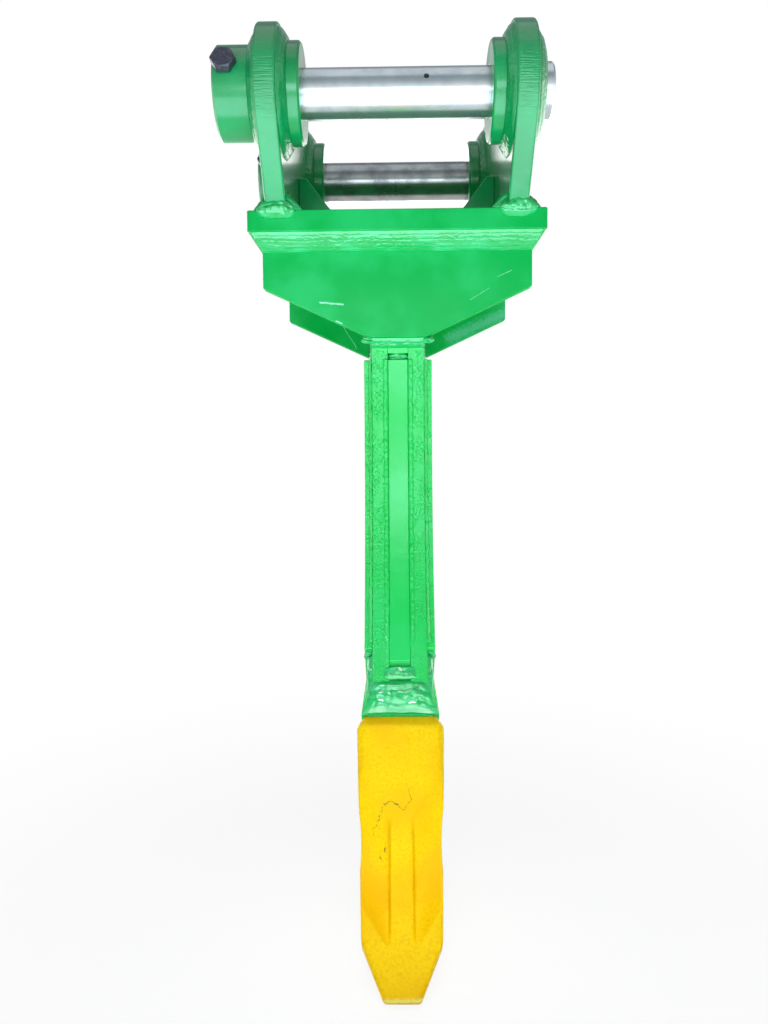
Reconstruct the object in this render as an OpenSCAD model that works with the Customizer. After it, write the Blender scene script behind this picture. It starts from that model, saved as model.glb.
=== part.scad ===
// Pin-on excavator ripper: a welded head with two pins, a curved laminated shank,
// a weld-on tooth adapter and a replaceable cast tooth.
// Millimetres. The origin is the middle of the front (dipper) pin.
// X runs along the pins, Y runs from the digging side to the rear, Z is up.

/* [Pins and bosses] */
// Diameter of both mounting pins
pin_d = 45; // [40:1:50]
// Distance between the two pin axes
pin_centres = 260; // [230:5:300]
// Clear width between the inner boss faces, where the dipper and the link fit
boss_gap = 172; // [150:2:190]
// Outside diameter of the four pin bosses, inside the ears
boss_d = 90; // [84:1:100]
// Outside diameter of the bosses where they pass out through the ears
collar_d = 84; // [74:1:88]
// How far each boss stands in from its ear
boss_inner_reach = 19; // [14:1:26]
// How far the bolted bosses stand out beyond the left ear
bolted_reach = 39; // [34:1:50]
// How far the plain bosses stand out beyond the right ear
plain_reach = 9; // [6:1:18]
// Diameter of the head on each pin
pin_head_d = 50; // [48:0.5:60]
// Thickness of the head on each pin
pin_head_t = 10; // [6:0.5:14]
// How far the other end of each pin sits inside its bolted boss
pin_recess = 1; // [0.5:0.5:3]
// Chamfer on the ends of the bosses and pins
end_chamfer = 2; // [1:0.5:4]
// Radial clearance of the pins in their bosses
pin_clearance = 0.25; // [0.1:0.05:0.5]

/* [Pin bolts and grease ways] */
// Diameter of the bolt that holds each pin
bolt_d = 12; // [10:1:16]
// Width across the flats of the bolt head and nut
bolt_flats = 20; // [17:1:24]
// Diameter of the flat face on the bolt heads and nuts, inside their bevel
bolt_face_d = 18.5; // [15:0.5:20]
// Distance of the bolt axis from the end of its boss
bolt_edge = 11.5; // [10:0.5:16]
// Height of the bolt head
bolt_head_h = 8; // [6:0.5:10]
// Height of the nut
nut_h = 10; // [8:0.5:13]
// Length of bolt that shows past the nut
bolt_tail = 4; // [2:0.5:8]
// Angle of the bolts above the horizontal, at the digging side
bolt_angle = 17; // [0:1:30]
// Radial clearance of the bolts in their holes
bolt_clearance = 0.4; // [0.2:0.1:1]
// Diameter of the grease hole in the side of each pin
grease_d = 5; // [3:0.5:8]
// Distance of the grease hole from the middle of the pin
grease_offset = 27.5; // [0:0.5:60]
// Diameter of the grease gallery along each pin
gallery_d = 8; // [6:0.5:10]
// Diameter of the recess for the grease nipple
nipple_recess_d = 16; // [14:0.5:20]
// Depth of the recess for the grease nipple
nipple_recess_h = 10; // [9:0.5:14]
// Width across the corners of the nipple hexagon
nipple_hex_d = 11; // [9:0.5:13]
// Height of the nipple hexagon
nipple_hex_h = 4; // [3:0.5:5]
// Diameter of the nipple tip
nipple_tip_d = 6; // [5:0.5:7]
// Depth of the nipple tip below the end of the pin
nipple_tip_depth = 1; // [0.5:0.5:2]
// Radial clearance of the threads, which are drawn plain
thread_clearance = 0.1; // [0.05:0.05:0.3]

/* [Ears] */
// Thickness of the two ear plates
ear_t = 20; // [16:1:25]
// Width of ear plate left around each boss
ear_rim = 15; // [12:1:20]
// Height of the saddle between the lobes above the pin line
ear_saddle = 47; // [40:1:54]
// Clearance of the bosses in the ears
boss_clearance = 0.1; // [0.05:0.05:0.3]
// Thickness of the inner ribs that brace the ears
rib_t = 12; // [8:1:16]
// Width of the inner ribs along the plate
rib_w = 52; // [40:1:64]
// Height of the inner ribs up the ear
rib_h = 65; // [50:1:75]
// Blunt end left on each corner of the ribs
rib_toe = 8; // [5:0.5:12]
// Gap between each rib and the ear weld at the cut-away corner
rib_cope_gap = 1; // [0.5:0.5:4]

/* [Top plate and gussets] */
// Depth of the top face of the plate below the pin axes
plate_drop = 102; // [90:1:120]
// Thickness of the top plate
plate_t = 20; // [16:1:25]
// Length of the top plate from front to rear
plate_l = 260; // [240:5:300]
// Distance of the front edge of the plate behind the front pin axis
plate_front = 9; // [0:1:20]
// Overhang of the plate beyond the ears on each side
plate_overhang = 18; // [14:1:26]
// Radius of the upright corners of the plate
plate_corner = 3; // [1:0.5:8]
// Thickness of the two gussets
gusset_t = 15; // [12:1:20]
// Distance of each gusset in from its end of the plate
gusset_inset = 18; // [17:1:26]
// Distance of the gusset sides in from the plate sides
gusset_margin = 12; // [6:1:20]
// Height of each gusset
gusset_h = 98; // [85:1:120]
// Height of the upright sides of each gusset
gusset_side = 50; // [35:1:65]
// Width of the gusset toe beyond the shank on each side
toe_margin = 1; // [0:0.5:6]

/* [Shank] */
// Thickness of the two side plates
side_plate_t = 16; // [12:1:20]
// Thickness of the centre plate
centre_plate_t = 20; // [16:1:30]
// Thickness of the two outer doublers
doubler_t = 8; // [5:0.5:12]
// Straight length of the front edge below the gussets
shank_straight = 80; // [60:1:120]
// Radius of the curved front edge
bend_r = 450; // [400:5:550]
// Angle that the front edge turns through before the adapter
bend_angle = 34.5; // [28:0.5:38]
// Gap between the gusset toes and the tops of the centre plate and doublers
centre_drop = 20; // [12:1:30]
// Height of the slot between the spacer in the head and the centre plate
slot_h = 6; // [3:0.5:10]
// How far the centre plate lies behind the edges of the side plates
centre_setback = 1; // [0.5:0.5:3]
// Step down in the edge of the centre plate near its lower end
centre_step = 2; // [1:0.5:4]
// Length of the stepped lower end of the centre plate
centre_step_len = 30; // [26:1:36]
// How far the doublers lie behind the edges of the side plates
doubler_setback = 5; // [3:0.5:10]

/* [Tooth and adapter] */
// Angle of the tooth axis forward of straight down
tooth_angle = 44; // [38:0.5:50]
// Distance of the shank front edge from the tooth axis, at the end of the shank
shank_end_front = 42; // [38:0.5:46]
// Distance of the shank back edge from the tooth axis, at the end of the shank
shank_end_back = 36; // [32:0.5:40]
// Length of the adapter body between the shank and the tooth
adapter_len = 20; // [16:1:28]
// Length of the adapter cheeks along the sides of the shank
cheek_len = 41; // [30:1:55]
// Thickness of each adapter cheek at the tooth end
cheek_t = 10; // [7:0.5:12]
// Thickness of each adapter cheek at its thin end
cheek_thin_t = 3; // [2:0.5:4]
// How far the front of the adapter lies behind the front of the shank
adapter_setback = 4; // [2:0.5:6]
// Distance between the adapter cheeks and the ends of the doublers
doubler_gap = 3; // [2:0.5:8]
// Length of the adapter nose inside the tooth
nose_len = 70; // [60:1:76]
// How much the nose narrows on each side toward its end
nose_taper_w = 8; // [4:0.5:10]
// How much the nose thins on each face toward its end
nose_taper_h = 21.5; // [19:0.5:24]
// Clearance of the nose in the tooth socket
nose_clearance = 0.4; // [0.2:0.1:0.8]
// Gap between the tooth rim and the adapter body
rim_gap = 2; // [1.5:0.5:6]
// Length of the tooth
tooth_len = 226; // [205:1:245]
// Width of the tooth at its rim
tooth_w = 79; // [76:0.5:86]
// Thickness of the tooth at its rim
tooth_h = 88; // [86:0.5:94]
// Radius of the long corners of the tooth, and width of the bevel round its rim
tooth_round = 8; // [5:0.5:8.5]
// Radius of the edge of the bevel round the rim
rim_edge = 3; // [1.5:0.5:4.5]
// Height of the bevel round the rim
rim_bevel_h = 13; // [11:0.5:18]
// Depth of the hollow in each side of the tooth
waist_depth = 1.5; // [1:0.5:4]
// Length of the hollow in each side of the tooth
waist_len = 50; // [30:1:60]
// Distance of the hollows from the rim
waist_at = 104; // [96:1:115]
// Wall of the tooth beside the nose at the rim
tooth_wall = 9; // [8:0.5:11]
// Width of the tooth where the chisel point starts
chisel_w = 66; // [58:0.5:72]
// Length of the chisel point
chisel_len = 42; // [30:1:55]
// Radius of the rounded edges of the chisel point
chisel_round = 2.5; // [1:0.5:4]
// Width of the tip
tip_w = 31; // [24:1:40]
// Thickness of the tip
tip_h = 12; // [8:0.5:16]
// Width of the rib down the middle of each tooth face
tooth_rib_w = 20; // [14:1:26]
// Depth of the scoops beside the rib
scoop_depth = 10; // [6:0.5:12]
// Radius of the scoops
scoop_r = 48; // [40:1:70]
// Slant of the scoops across the tooth
scoop_slant = 54; // [44:1:62]
// Distance of the scoops from the rim, halfway across each one
scoop_at = 124; // [116:1:134]
// Diameter of the pin that holds the tooth
tooth_pin_d = 16; // [12:0.5:20]
// Distance of the tooth pin from the adapter body
tooth_pin_at = 33; // [26:1:40]
// Depth of each end of the tooth pin below the side of the tooth
tooth_pin_recess = 2.5; // [1:0.5:5]
// Outside diameter of the lock ring on the tooth pin
lock_d = 27; // [24:0.5:32]
// Thickness of the lock ring
lock_t = 8; // [5:0.5:10]
// Depth of the lock ring below the side of the nose
lock_depth = 6; // [4:0.5:8]
// Radial clearance of the tooth pin and its lock ring
tooth_pin_clearance = 0.25; // [0.1:0.05:0.5]

/* [Welds] */
// Fullness of the fillet weld faces, where half is a flat face
weld_full = 0.57; // [0.5:0.01:0.62]
// Leg of the fillet welds inside the ears
ear_weld_in = 15; // [10:0.5:16]
// Leg of the fillet welds outside the ears
ear_weld_out = 11; // [8:0.5:13]
// Radius of the weld that wraps the front and rear of each ear foot
foot_weld_r = 11; // [8:0.5:14]
// Leg of the ring welds round the bosses, out across the ears
ring_weld = 12; // [7:0.5:14]
// Leg of the ring welds along the bosses
ring_weld_along = 8; // [5:0.5:8.5]
// Leg of the welds between the plate and the gussets
gusset_weld = 16; // [10:0.5:16.5]
// Leg of the welds between the shank and the head
shank_weld = 9; // [6:0.5:11]
// Width of the seam welds along the front of the shank
seam_w = 5; // [3:0.5:8]
// How far the seam welds stand proud of the shank
seam_h = 1.5; // [1:0.25:2.5]
// Width of the welds along the front edges of the doublers
edge_weld_w = 4; // [2:0.5:4.5]
// Length of the bead over the lower end of the centre plate
plug_weld_l = 12; // [8:1:14]
// Width that this bead overlaps each side plate
plug_weld_lap = 6; // [3:0.5:10]
// How far this bead stands proud of the shank
plug_weld_h = 3; // [2:0.5:5]
// Gap between this bead and the adapter weld
plug_weld_gap = 0.5; // [0.3:0.1:2]
// How far the adapter welds stand proud of the shank
adapter_weld_h = 6; // [4:0.5:8]
// Width of the adapter welds along the shank
adapter_weld_w = 22; // [16:1:24]

/* [Hidden] */
$fn = 96;
arc_fn = 360;
overrun = 1200;
ball_fn = 32;
bolt_bevel = 30;

paint_green = "#2f9e4f";
weld_green = "#7fd0a0";
tooth_yellow = "#f2b21b";
pin_steel = "#b9bec2";
bolt_steel = "#4a4852";

// Across the head
boss_r = boss_d / 2;
collar_r = collar_d / 2;
ear_r = boss_r + ear_rim;
ear_in = boss_gap / 2 + boss_inner_reach;
ear_out = ear_in + ear_t;
plate_w = 2 * (ear_out + plate_overhang);
gusset_w = plate_w - 2 * gusset_margin;

// Down the head
plate_under = -plate_drop - plate_t;
gusset_bottom = plate_under - gusset_h;
plate_back = plate_front + plate_l;
gusset_front = plate_front + gusset_inset;
gusset_back = plate_back - gusset_inset;

// Along the shank
core_w = 2 * side_plate_t + centre_plate_t;
shank_front = gusset_front + gusset_t;
shank_back = gusset_back - gusset_t;
layer_top = gusset_bottom - centre_drop;
spacer_bottom = layer_top + slot_h;
bend_centre = [shank_front - bend_r, gusset_bottom - shank_straight];
shank_end = bend_centre + bend_r * [cos(bend_angle), -sin(bend_angle)];

// The tooth axis: where the adapter body meets the tooth, and the two directions in its plane
tooth_down = [-sin(tooth_angle), -cos(tooth_angle)];
tooth_front = [-cos(tooth_angle), sin(tooth_angle)];
tooth_seat = shank_end + adapter_len * tooth_down - shank_end_front * tooth_front;

// The back edge of the shank: one arc from the rear gusset, ending along the tooth axis
back_start = [shank_back, gusset_bottom];
back_end = tooth_seat - adapter_len * tooth_down - shank_end_back * tooth_front;
back_chord = back_start - back_end;
back_r = (back_chord * back_chord) / (2 * (back_chord * tooth_front));
back_centre = back_end + back_r * tooth_front;

// The adapter and its nose
adapter_top = adapter_len + cheek_len;
doubler_end = adapter_top + doubler_gap;
body_half_w = core_w / 2 + cheek_t;
cheek_half_w = core_w / 2 + cheek_thin_t;
nose_half_w = tooth_w / 2 - tooth_wall - nose_clearance;
nose_half_h = tooth_h / 2 - tooth_round - nose_clearance;
nose_end_half_w = nose_half_w - nose_taper_w;
nose_end_half_h = nose_half_h - nose_taper_h;
face_slope = atan((tooth_h - tip_h) / 2 / tooth_len);
tooth_pin_l = tooth_w - 2 * tooth_pin_recess;

// The bead over the end of the centre plate, as a circle that stands out of the front edge
plug_r = (plug_weld_l * plug_weld_l / 4 + plug_weld_h * plug_weld_h) / (2 * plug_weld_h);
plug_run = (adapter_weld_w + plug_weld_l) / 2 + plug_weld_gap;
plug_angle = bend_angle - asin(plug_run / bend_r);
plug_centre = bend_centre + (bend_r + plug_r - plug_weld_h) * [cos(plug_angle), -sin(plug_angle)];

// The angle round the bend where the doublers end, and the seam welds with them
seam_angle = bend_angle - asin((doubler_end - adapter_len + seam_w) / bend_r);

// Along each pin
pin_left = -(ear_out + bolted_reach - pin_recess);
pin_face = ear_out + plain_reach;
pin_right = pin_face + pin_head_t;
bolt_x = bolt_edge - ear_out - bolted_reach;

// Point where a line from p touches a circle; side picks one of the two
function tangent_point(centre, r, p, side) =
    let (d = p - centre, q = d * d)
    centre + (r * r / q) * d + (side * r * sqrt(q - r * r) / q) * [-d[1], d[0]];

// A flat plate of an outline in Y and Z, from x, t thick
module plate_yz(x, t)
{
    translate([x, 0, 0])
        rotate([90, 0, 90])
            linear_extrude(t)
                children();
}

// A flat plate of an outline in X and Z, from y, t thick
module plate_xz(y, t)
{
    translate([0, y + t, 0])
        rotate([90, 0, 0])
            linear_extrude(t)
                children();
}

// Things turned about the X axis, drawn as radius against X
module turned_x(x)
{
    translate([x, 0, 0])
        rotate([0, 90, 0])
            rotate_extrude()
                children();
}

// The frame of the tooth: Z up its axis, -Y to its front face
module at_tooth()
{
    translate([0, tooth_seat[0], tooth_seat[1]])
        rotate([-tooth_angle, 0, 0])
            children();
}

// The same frame for outlines in Y and Z
module at_tooth_2d()
{
    translate(tooth_seat)
        rotate(-tooth_angle)
            children();
}

// Both pins: the front one, or the rear one
module at_pin(rear)
{
    translate([0, rear ? pin_centres : 0, 0])
        children();
}

// Outline of a fillet weld with a slightly full face, in its corner
module fillet_outline(leg, other = 0)
{
    up = other > 0 ? other : leg;
    polygon([[0, 0], [leg, 0], [weld_full * leg, weld_full * up], [0, up]]);
}

// Ears

module ear_outline()
{
    foot_front = [plate_front, -plate_drop];
    foot_back = [plate_back, -plate_drop];
    rear_centre = [pin_centres, 0];
    half = pin_centres / 2;
    saddle_r = (half * half + ear_saddle * ear_saddle - ear_r * ear_r) / (2 * (ear_r - ear_saddle));
    circle(ear_r);
    translate(rear_centre)
        circle(ear_r);
    difference() {
        polygon([
            tangent_point([0, 0], ear_r, foot_front, -1),
            foot_front,
            foot_back,
            tangent_point(rear_centre, ear_r, foot_back, 1),
            [pin_centres, ear_r],
            [0, ear_r]
        ]);
        translate([half, ear_saddle + saddle_r])
            circle(saddle_r, $fn = arc_fn);
    }
}

module ear(side)
{
    color(paint_green)
        plate_yz(side < 0 ? -ear_out : ear_in, ear_t)
            difference() {
                ear_outline();
                circle(collar_r + boss_clearance);
                translate([pin_centres, 0])
                    circle(collar_r + boss_clearance);
            }
}

// The corner of each rib is cut away to clear the ear weld
module ear_rib(side)
{
    cope = 2 * weld_full * ear_weld_in + rib_cope_gap;
    color(paint_green)
        translate([0, pin_centres / 2 - rib_t / 2, 0])
            plate_xz(0, rib_t)
                scale([side, 1])
                    translate([ear_in, -plate_drop])
                        polygon([
                            [-cope, 0],
                            [-rib_w, 0],
                            [-rib_w, rib_toe],
                            [-rib_toe, rib_h],
                            [0, rib_h],
                            [0, cope]
                        ]);
}

module ear_weld(side)
{
    color(weld_green)
        difference() {
            union() {
                for (out = [0, 1])
                    translate([side * (out ? ear_out : ear_in), plate_front, -plate_drop])
                        rotate([90, 0, 180])
                            linear_extrude(plate_l)
                                scale([-side * (out ? 1 : -1), 1])
                                    fillet_outline(out ? ear_weld_out : ear_weld_in);
                for (y = [plate_front, plate_back])
                    translate([side * (ear_in + ear_out) / 2, y, -plate_drop])
                        rotate([0, 90, 0])
                            cylinder(r = foot_weld_r, h = ear_t + ear_weld_out, center = true);
            }
            plate_yz(side < 0 ? -ear_out : ear_in, ear_t)
                ear_outline();
            plate_block();
        }
}

// Bosses, pins and their fasteners

// A stepped bush: its shoulder seats on the inner face of the ear
module boss(side, reach, rear)
{
    l = boss_inner_reach + ear_t + reach;
    bore = pin_d / 2 + pin_clearance;
    color(paint_green)
        at_pin(rear)
            difference() {
                scale([side, 1, 1])
                    turned_x(boss_gap / 2)
                        polygon([
                            [bore, 0],
                            [boss_r - end_chamfer, 0],
                            [boss_r, end_chamfer],
                            [boss_r, boss_inner_reach],
                            [collar_r, boss_inner_reach],
                            [collar_r, l - end_chamfer],
                            [collar_r - end_chamfer, l],
                            [bore, l]
                        ]);
                bolt_hole();
            }
}

// Along the bolt: Z points out of the head, at the digging side
module at_bolt()
{
    translate([bolt_x, 0, 0])
        rotate([90 - bolt_angle, 0, 0])
            children();
}

module bolt_hole()
{
    at_bolt()
        cylinder(d = bolt_d + 2 * bolt_clearance, h = overrun, center = true);
}

// A headed pin; the grease hole of the rear pin is on its far side
module pin(rear)
{
    l = pin_face - pin_left;
    r = pin_d / 2;
    head_r = pin_head_d / 2;
    color(pin_steel)
        at_pin(rear)
            difference() {
                turned_x(pin_left)
                    polygon([
                        [0, 0],
                        [r - end_chamfer, 0],
                        [r, end_chamfer],
                        [r, l],
                        [head_r, l],
                        [head_r, l + pin_head_t - end_chamfer],
                        [head_r - end_chamfer, l + pin_head_t],
                        [0, l + pin_head_t]
                    ]);
                bolt_hole();
                translate([grease_offset, 0, 0])
                    rotate([90 - bolt_angle + (rear ? 180 : 0), 0, 0])
                        cylinder(d = grease_d, h = pin_d);
                translate([grease_offset, 0, 0])
                    rotate([0, 90, 0])
                        cylinder(d = gallery_d, h = overrun);
                translate([pin_right - nipple_recess_h, 0, 0])
                    rotate([0, 90, 0])
                        cylinder(d = nipple_recess_d, h = overrun);
            }
}

// Turned nipple with a hexagon, screwed into the end of the gallery
module grease_nipple(rear)
{
    tip_h = nipple_recess_h - nipple_hex_h - nipple_tip_depth;
    color(pin_steel)
        at_pin(rear)
            translate([pin_right - nipple_recess_h, 0, 0])
                rotate([0, 90, 0]) {
                    cylinder(d = nipple_hex_d, h = nipple_hex_h, $fn = 6);
                    translate([0, 0, -nipple_hex_h])
                        cylinder(d = gallery_d - 2 * thread_clearance, h = nipple_hex_h);
                    translate([0, 0, nipple_hex_h])
                        cylinder(d = nipple_tip_d, h = tip_h);
                }
}

// A hexagon h tall with its top corners bevelled off
module bevelled_hexagon(h)
{
    intersection() {
        cylinder(d = bolt_flats / cos(30), h = h, $fn = 6);
        cylinder(d1 = bolt_face_d + 2 * h / tan(bolt_bevel), d2 = bolt_face_d, h = h);
    }
}

module pin_bolt(rear)
{
    color(bolt_steel)
        at_pin(rear)
            at_bolt() {
                translate([0, 0, collar_r])
                    bevelled_hexagon(bolt_head_h);
                translate([0, 0, -collar_r - nut_h - bolt_tail])
                    cylinder(d = bolt_d, h = collar_d + nut_h + bolt_tail);
            }
}

module pin_nut(rear)
{
    color(bolt_steel)
        at_pin(rear)
            at_bolt()
                translate([0, 0, -collar_r])
                    mirror([0, 0, 1])
                        difference() {
                            bevelled_hexagon(nut_h);
                            cylinder(d = bolt_d + 2 * thread_clearance, h = overrun, center = true);
                        }
}

// A ring weld on each face of the ear
module boss_weld(side, rear)
{
    color(weld_green)
        at_pin(rear)
            for (out = [0, 1])
                scale([side, 1, 1])
                    turned_x(out ? ear_out : ear_in)
                        translate([out ? collar_r : boss_r, 0])
                            scale([1, out ? 1 : -1])
                                fillet_outline(ring_weld, ring_weld_along);
}

// Top plate and gussets

module plate_block()
{
    half = plate_w / 2 - plate_corner;
    translate([0, 0, plate_under])
        linear_extrude(plate_t) {
            translate([-half, plate_front])
                square([2 * half, plate_l]);
            translate([-plate_w / 2, plate_front + plate_corner])
                square([plate_w, plate_l - 2 * plate_corner]);
            for (x = [-half, half], y = [plate_front + plate_corner, plate_back - plate_corner])
                translate([x, y])
                    circle(plate_corner);
        }
}

module top_plate()
{
    color(paint_green)
        plate_block();
}

module gusset(y)
{
    half = gusset_w / 2;
    toe = core_w / 2 + toe_margin;
    shoulder = plate_under - gusset_side;
    color(paint_green)
        plate_xz(y, gusset_t)
            polygon([
                [-half, plate_under],
                [half, plate_under],
                [half, shoulder],
                [toe, gusset_bottom],
                [-toe, gusset_bottom],
                [-half, shoulder]
            ]);
}

module gusset_welding(y, facing)
{
    color(weld_green)
        plate_yz(-gusset_w / 2, gusset_w)
            translate([y, plate_under])
                scale([facing, -1])
                    fillet_outline(gusset_weld);
}

// Shank

// Outline of the shank, with its edges set back and its top end at top
module shank_outline(setback, top, end)
{
    difference() {
        intersection() {
            polygon([
                [shank_front + setback, top],
                [shank_back - setback, top],
                [shank_back - setback, -overrun],
                [bend_centre[0], -overrun],
                [bend_centre[0], bend_centre[1]],
                [shank_front + setback, bend_centre[1]]
            ]);
            translate(back_centre)
                circle(back_r - setback, $fn = arc_fn);
            at_tooth_2d()
                translate([-overrun / 2, end])
                    square(overrun);
        }
        translate(bend_centre)
            circle(bend_r + setback, $fn = arc_fn);
    }
}

module shank_side_plate(side)
{
    inner = centre_plate_t / 2;
    color(paint_green)
        plate_yz(side < 0 ? -inner - side_plate_t : inner, side_plate_t)
            shank_outline(0, plate_under, adapter_len);
}

// Outline of the centre plate, stepped down at its lower end
module centre_outline()
{
    shank_outline(centre_setback, layer_top, adapter_len + centre_step_len);
    shank_outline(centre_setback + centre_step, layer_top, adapter_len);
}

module shank_centre_plate()
{
    color(paint_green)
        plate_yz(-centre_plate_t / 2, centre_plate_t)
            centre_outline();
}

// Fills the core of the shank inside the head, above the slot
module shank_spacer()
{
    color(paint_green)
        plate_yz(-centre_plate_t / 2, centre_plate_t)
            translate([shank_front, spacer_bottom])
                square([shank_back - shank_front, plate_under - spacer_bottom]);
}

module shank_doubler(side)
{
    color(paint_green)
        plate_yz(side < 0 ? -core_w / 2 - doubler_t : core_w / 2, doubler_t)
            shank_outline(doubler_setback, layer_top, doubler_end);
}

// Upright welds up both sides of the shank, and a bead under the gusset toe
module shank_welding(y, facing)
{
    color(weld_green) {
        for (side = [-1, 1])
            translate([side * core_w / 2, y, gusset_bottom])
                linear_extrude(gusset_h)
                    scale([side, facing])
                        fillet_outline(shank_weld);
        plate_yz(-core_w / 2, core_w)
            difference() {
                translate([y, gusset_bottom])
                    scale([-facing, -1])
                        fillet_outline(shank_weld);
                shank_outline(0, plate_under, adapter_len);
            }
    }
}

module shank_weld_top()
{
    run = shank_back - shank_front - 2 * shank_weld;
    color(weld_green)
        for (side = [-1, 1])
            translate([side * core_w / 2, shank_front + shank_weld, plate_under])
                rotate([90, 0, 180])
                    linear_extrude(run)
                        scale([-side, -1])
                            fillet_outline(shank_weld);
}

// An outline run down the front of the shank at x, straight and then round the bend
module front_run(x, setback, top, angle)
{
    translate([x, shank_front + setback, bend_centre[1]])
        linear_extrude(top - bend_centre[1])
            children();
    translate([x, bend_centre[0], bend_centre[1]])
        rotate([0, 90, 0])
            rotate([0, 0, 90 - angle])
                rotate_extrude(angle = angle, $fn = arc_fn)
                    translate([bend_r + setback, 0])
                        mirror([1, -1])
                            children();
}

// A bead on each side plate along its joint with the centre plate
module shank_seam_weld(side)
{
    x = side * (centre_plate_t + seam_w) / 2;
    color(weld_green)
        front_run(x, 0, layer_top, seam_angle)
            seam_outline();
}

// A fillet in the step between each doubler and its side plate
module doubler_weld(side)
{
    color(weld_green)
        front_run(side * core_w / 2, doubler_setback, layer_top, seam_angle)
            scale([side, -1])
                fillet_outline(edge_weld_w, doubler_setback);
}

// A bead over the stepped lower end of the centre plate
module centre_plate_weld()
{
    inner = centre_plate_t / 2;
    color(weld_green) {
        for (side = [-1, 1])
            plate_yz(side < 0 ? -inner - plug_weld_lap : inner, plug_weld_lap)
                difference() {
                    plug_outline();
                    shank_outline(0, plate_under, adapter_len);
                }
        plate_yz(-inner, centre_plate_t)
            difference() {
                plug_outline();
                centre_outline();
            }
    }
}

module plug_outline()
{
    translate(plug_centre)
        circle(plug_r);
}

// Half an ellipse standing forward of the shank
module seam_outline()
{
    intersection() {
        scale([1, 2 * seam_h / seam_w])
            circle(d = seam_w, $fn = ball_fn);
        translate([-seam_w, -seam_w])
            square([2 * seam_w, seam_w]);
    }
}

// Adapter

module adapter_side_outline()
{
    front = shank_end_front - adapter_setback;
    polygon([
        [-nose_half_h, 0],
        [nose_half_h, 0],
        [shank_end_back, adapter_len],
        [shank_end_back, adapter_top - cheek_t],
        [shank_end_back - cheek_t, adapter_top],
        [cheek_t - front, adapter_top],
        [-front, adapter_top - cheek_t],
        [-front, adapter_len]
    ]);
}

// Nose of the adapter, grown by c to make the socket of the tooth
module nose(c)
{
    intersection() {
        plate_xz(-tooth_h, 2 * tooth_h)
            polygon([
                [-nose_half_w - c, 0],
                [nose_half_w + c, 0],
                [nose_end_half_w + c, -nose_len - c],
                [-nose_end_half_w - c, -nose_len - c]
            ]);
        plate_yz(-tooth_w, 2 * tooth_w)
            polygon([
                [-nose_half_h - c, 0],
                [nose_half_h + c, 0],
                [nose_end_half_h + c, -nose_len - c],
                [-nose_end_half_h - c, -nose_len - c]
            ]);
    }
}

module cross_hole(d)
{
    translate([0, 0, -tooth_pin_at])
        rotate([0, 90, 0])
            cylinder(d = d, h = overrun, center = true);
}

// The lock ring sits in a pocket in the right side of the nose
module lock_pocket(c)
{
    pocket_end = nose_half_w - lock_t - lock_depth;
    translate([pocket_end, 0, -tooth_pin_at])
        rotate([0, 90, 0])
            cylinder(d = lock_d + 2 * c, h = c > 0 ? overrun : lock_t);
}

module tooth_adapter()
{
    color(paint_green)
        at_tooth()
            difference() {
                union() {
                    intersection() {
                        plate_xz(-tooth_h, 2 * tooth_h)
                            polygon([
                                [-body_half_w, 0],
                                [body_half_w, 0],
                                [cheek_half_w, adapter_top],
                                [-cheek_half_w, adapter_top]
                            ]);
                        plate_yz(-tooth_w, 2 * tooth_w)
                            adapter_side_outline();
                    }
                    nose(0);
                }
                translate([-core_w / 2, -tooth_h, adapter_len])
                    cube([core_w, 2 * tooth_h, overrun]);
                cross_hole(tooth_pin_d + 2 * tooth_pin_clearance);
                lock_pocket(tooth_pin_clearance);
            }
}

// Beads across the front and the back of the joint between the shank and the adapter,
// spreading from the width of the core to the width of the adapter body
module adapter_weld()
{
    color(weld_green)
        intersection() {
            plate_yz(-body_half_w, 2 * body_half_w)
                difference() {
                    at_tooth_2d()
                        for (edge = [-shank_end_front, shank_end_back])
                            translate([edge, adapter_len])
                                scale([2 * adapter_weld_h / adapter_weld_w, 1])
                                    circle(d = adapter_weld_w);
                    shank_outline(0, plate_under, adapter_len);
                    at_tooth_2d()
                        adapter_side_outline();
                }
            at_tooth()
                plate_xz(-tooth_h, 2 * tooth_h)
                    polygon([
                        [-body_half_w, 0],
                        [body_half_w, 0],
                        [core_w / 2, adapter_len],
                        [core_w / 2, adapter_top],
                        [-core_w / 2, adapter_top],
                        [-core_w / 2, adapter_len]
                    ]);
        }
}

// Tooth

// Balls at the four corners of a cross-section of the tooth
module corner_balls(w, h, z, r)
{
    for (x = [-1, 1], y = [-1, 1])
        translate([x * (w / 2 - r), y * (h / 2 - r), z])
            sphere(r, $fn = ball_fn);
}

module tooth_blank()
{
    chisel_h = tooth_h - (tooth_h - tip_h) * (tooth_len - chisel_len) / tooth_len;
    bevel_in = 2 * (tooth_round - rim_edge);
    hull() {
        corner_balls(tooth_w - bevel_in, tooth_h - bevel_in, -rim_edge, rim_edge);
        corner_balls(tooth_w, tooth_h, -rim_bevel_h, tooth_round);
        corner_balls(chisel_w, chisel_h, chisel_len - tooth_len, chisel_round);
        corner_balls(tip_w, tip_h, chisel_round - tooth_len, chisel_round);
    }
}

// One slanted trough beside the rib, on the right of the front face
module scoop()
{
    middle = (tooth_w / 2 + tooth_rib_w / 2) / 2;
    translate([0, -tooth_h / 2, 0])
        rotate([face_slope, 0, 0])
            intersection() {
                translate([middle, scoop_depth - scoop_r, -scoop_at])
                    rotate([0, 90 - scoop_slant, 0])
                        cylinder(r = scoop_r, h = 2 * tooth_w, center = true, $fn = arc_fn);
                translate([tooth_rib_w / 2, -tooth_h, -overrun / 2])
                    cube([tooth_w, 2 * tooth_h, overrun]);
            }
}

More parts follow.
